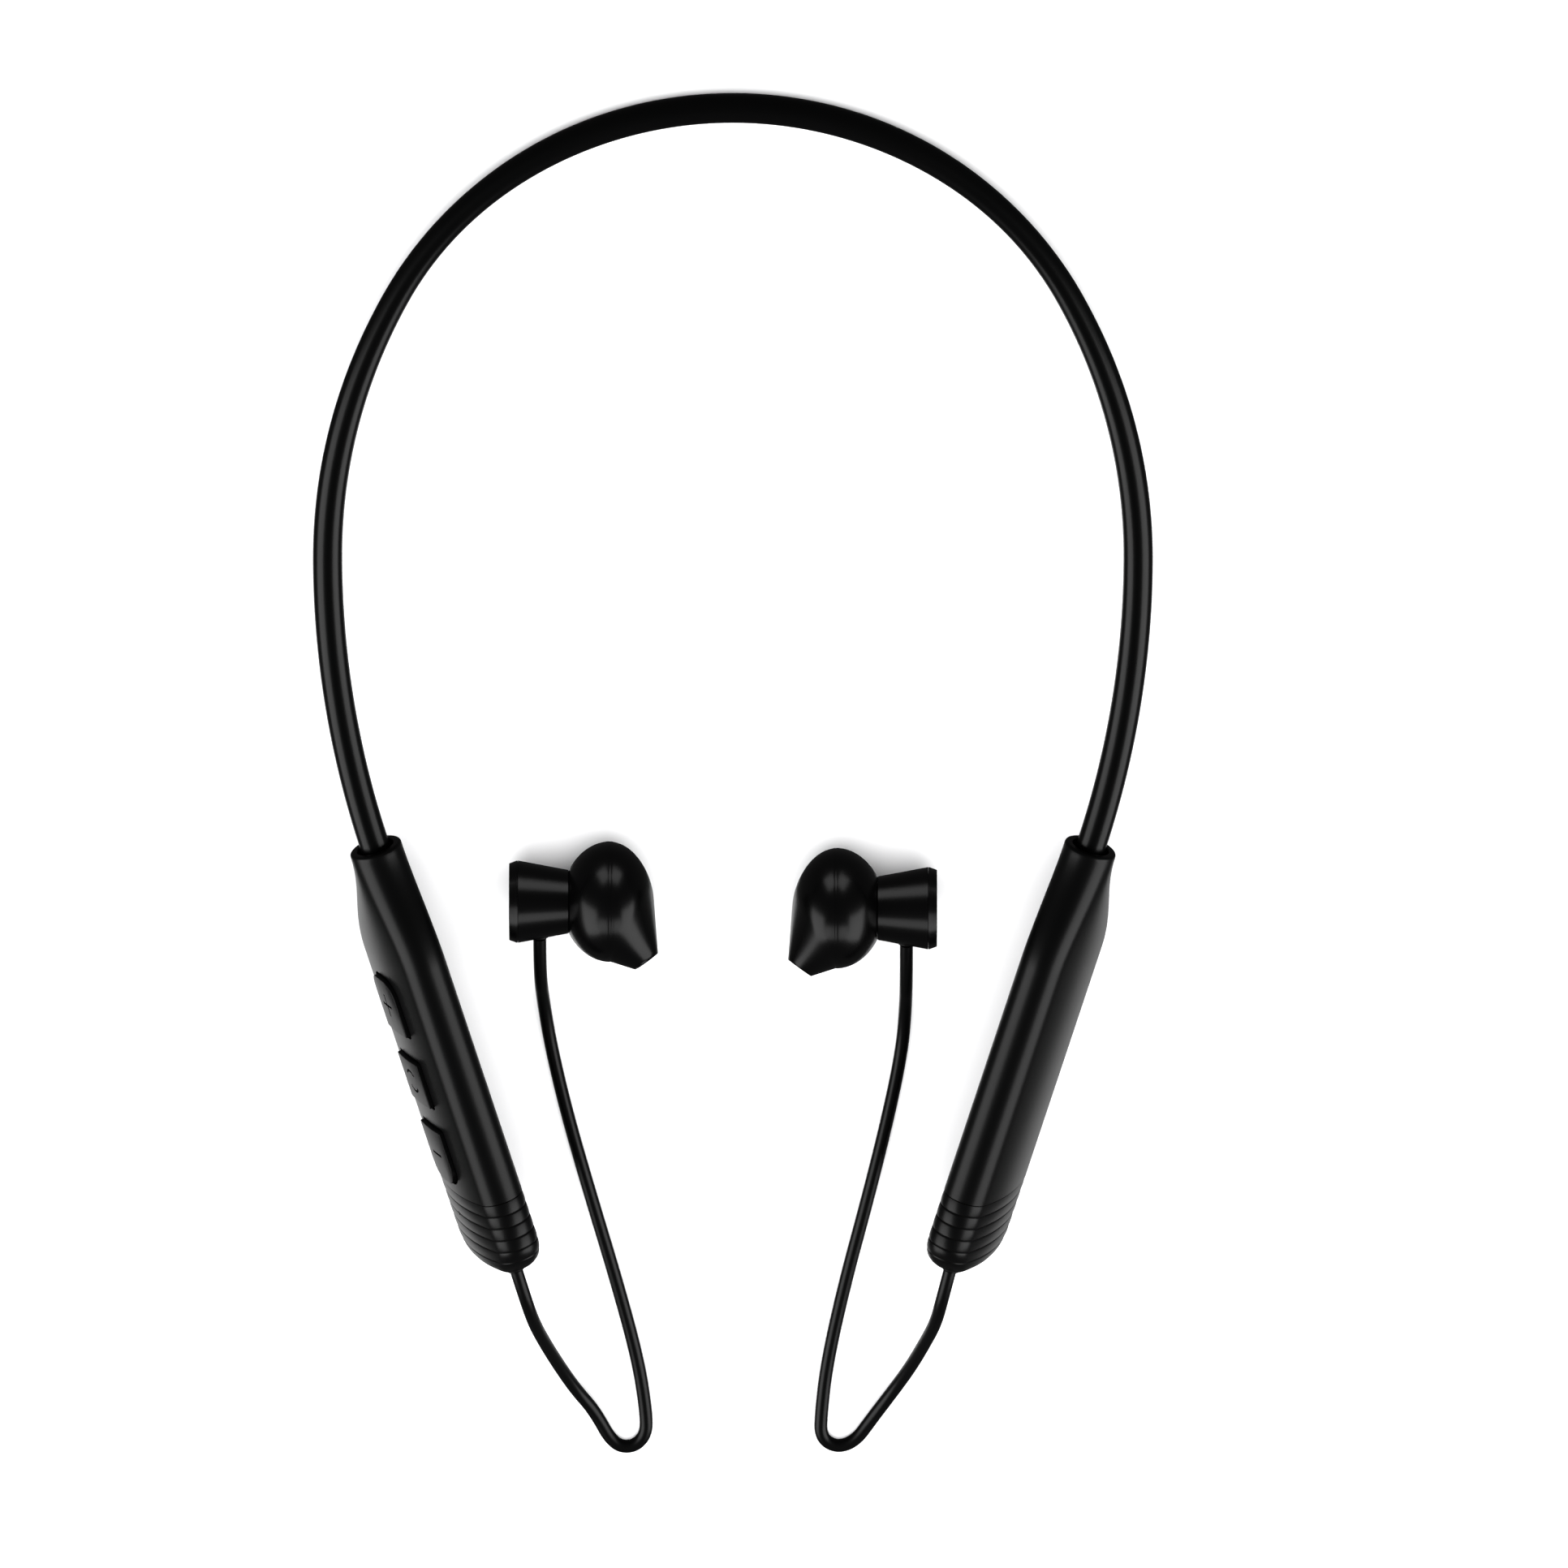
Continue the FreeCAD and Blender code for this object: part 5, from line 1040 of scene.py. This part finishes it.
class EARPHONES_OT_studio(bpy.types.Operator):
    """Sets the pale floor, the soft lights and the camera"""
    bl_idname = "earphones.studio"
    bl_label = "Studio"

    def execute(self, context):
        scene = context.scene
        studio = scene.studio_sizes
        scene.view_settings.view_transform = "Standard"
        toward = Vector((0.0, math.sin(studio.view_tilt), math.cos(studio.view_tilt)))
        picture_up = Vector((0.0, toward.z, -toward.y))
        lowest = CAD_BOX[0][2]
        target = Vector((7.67 * MM, -20.95 * MM, 0.0))
        camera = bpy.data.cameras.new("view")
        camera.lens = studio.lens
        camera.sensor_width = 36.0
        distance = studio.view_width * studio.lens / camera.sensor_width
        eye = bpy.data.objects.new("view", camera)
        eye.matrix_world = axes_matrix(Vector((1, 0, 0)), picture_up, toward,
                                       target + toward * distance)
        camera.clip_end = 40.0
        scene.collection.objects.link(eye)
        scene.camera = eye

        floor_shape = bmesh.new()
        bmesh.ops.create_grid(floor_shape, x_segments=1, y_segments=1, size=6.0)
        paper = bpy.data.materials.new("paper")
        paper.use_nodes = True
        shader = paper.node_tree.nodes["Principled BSDF"]
        shader.inputs["Base Color"].default_value = scene.finish_tones.floor
        shader.inputs["Roughness"].default_value = 0.9
        shader.inputs["Specular IOR Level"].default_value = 0.0
        floor = piece_from("floor", floor_shape, paper, Matrix.Translation((0, 0, lowest - 0.02 * MM)), 0)
        floor.visible_glossy = False
        floor.visible_diffuse = False
        floor.visible_shadow = False

        middle = Vector((0.0, 0.0, 10 * MM))
        far = 0.9
        for side in (-1, 1):
            soft_light("side_light", (0.78 * side, -0.32, 0.42), far, 0.75, 0.75,
                       studio.side_power, middle)
            soft_light("rim_light", (0.36 * side, -0.53, -0.77), far, 0.36, 0.36,
                       studio.rim_power * (1 - side * studio.rim_tilt), middle)
        ground = bpy.data.collections.new("ground")
        ground.objects.link(floor)
        soft_light("floor_light", (0.0, 0.1, 1.0), 1.6, 2.4, 2.4, studio.floor_power, middle, ground)
        buds = bpy.data.collections.new("earbuds")
        for side in (-1, 1):
            soft_light("bud_front_light", (-0.34 * side, -0.42, 0.84), far, 0.4, 0.4,
                       studio.bud_power, middle, buds)
            soft_light("bud_back_light", (-0.34 * side, 0.92, 0.15), far, 0.5, 0.4,
                       studio.bud_power, middle, buds)

        world = bpy.data.worlds.new("studio")
        scene.world = world
        world.use_nodes = True
        world.node_tree.nodes["Background"].inputs["Color"].default_value = (1, 1, 1, 1)
        world.node_tree.nodes["Background"].inputs["Strength"].default_value = studio.world_power
        return {"FINISHED"}


# ------------------------------------------------------------------ add-on
STEPS = (EARPHONES_OT_studio, EARPHONES_OT_cords, EARPHONES_OT_sleeve, EARPHONES_OT_pods,
         EARPHONES_OT_tip_caps, EARPHONES_OT_buttons, EARPHONES_OT_earbuds,
         EARPHONES_OT_inner_parts)


class EARPHONES_PT_panel(bpy.types.Panel):
    """Lists the steps that build the set"""
    bl_idname = "EARPHONES_PT_panel"
    bl_label = "Neckband Earphones"
    bl_space_type = "VIEW_3D"
    bl_region_type = "UI"
    bl_category = "Earphones"

    def draw(self, context):
        for step in STEPS:
            self.layout.operator(step.bl_idname)


def register():
    for name, group in GROUPS:
        bpy.utils.register_class(group)
        setattr(bpy.types.Scene, name, PointerProperty(type=group))
    for step in STEPS:
        bpy.utils.register_class(step)
    bpy.utils.register_class(EARPHONES_PT_panel)


def unregister():
    bpy.utils.unregister_class(EARPHONES_PT_panel)
    for step in reversed(STEPS):
        bpy.utils.unregister_class(step)
    for name, group in reversed(GROUPS):
        delattr(bpy.types.Scene, name)
        bpy.utils.unregister_class(group)


def main():
    register()
    for step in STEPS:
        family, name = step.bl_idname.split(".")
        getattr(getattr(bpy.ops, family), name)()


if __name__ == "__main__":
    main()
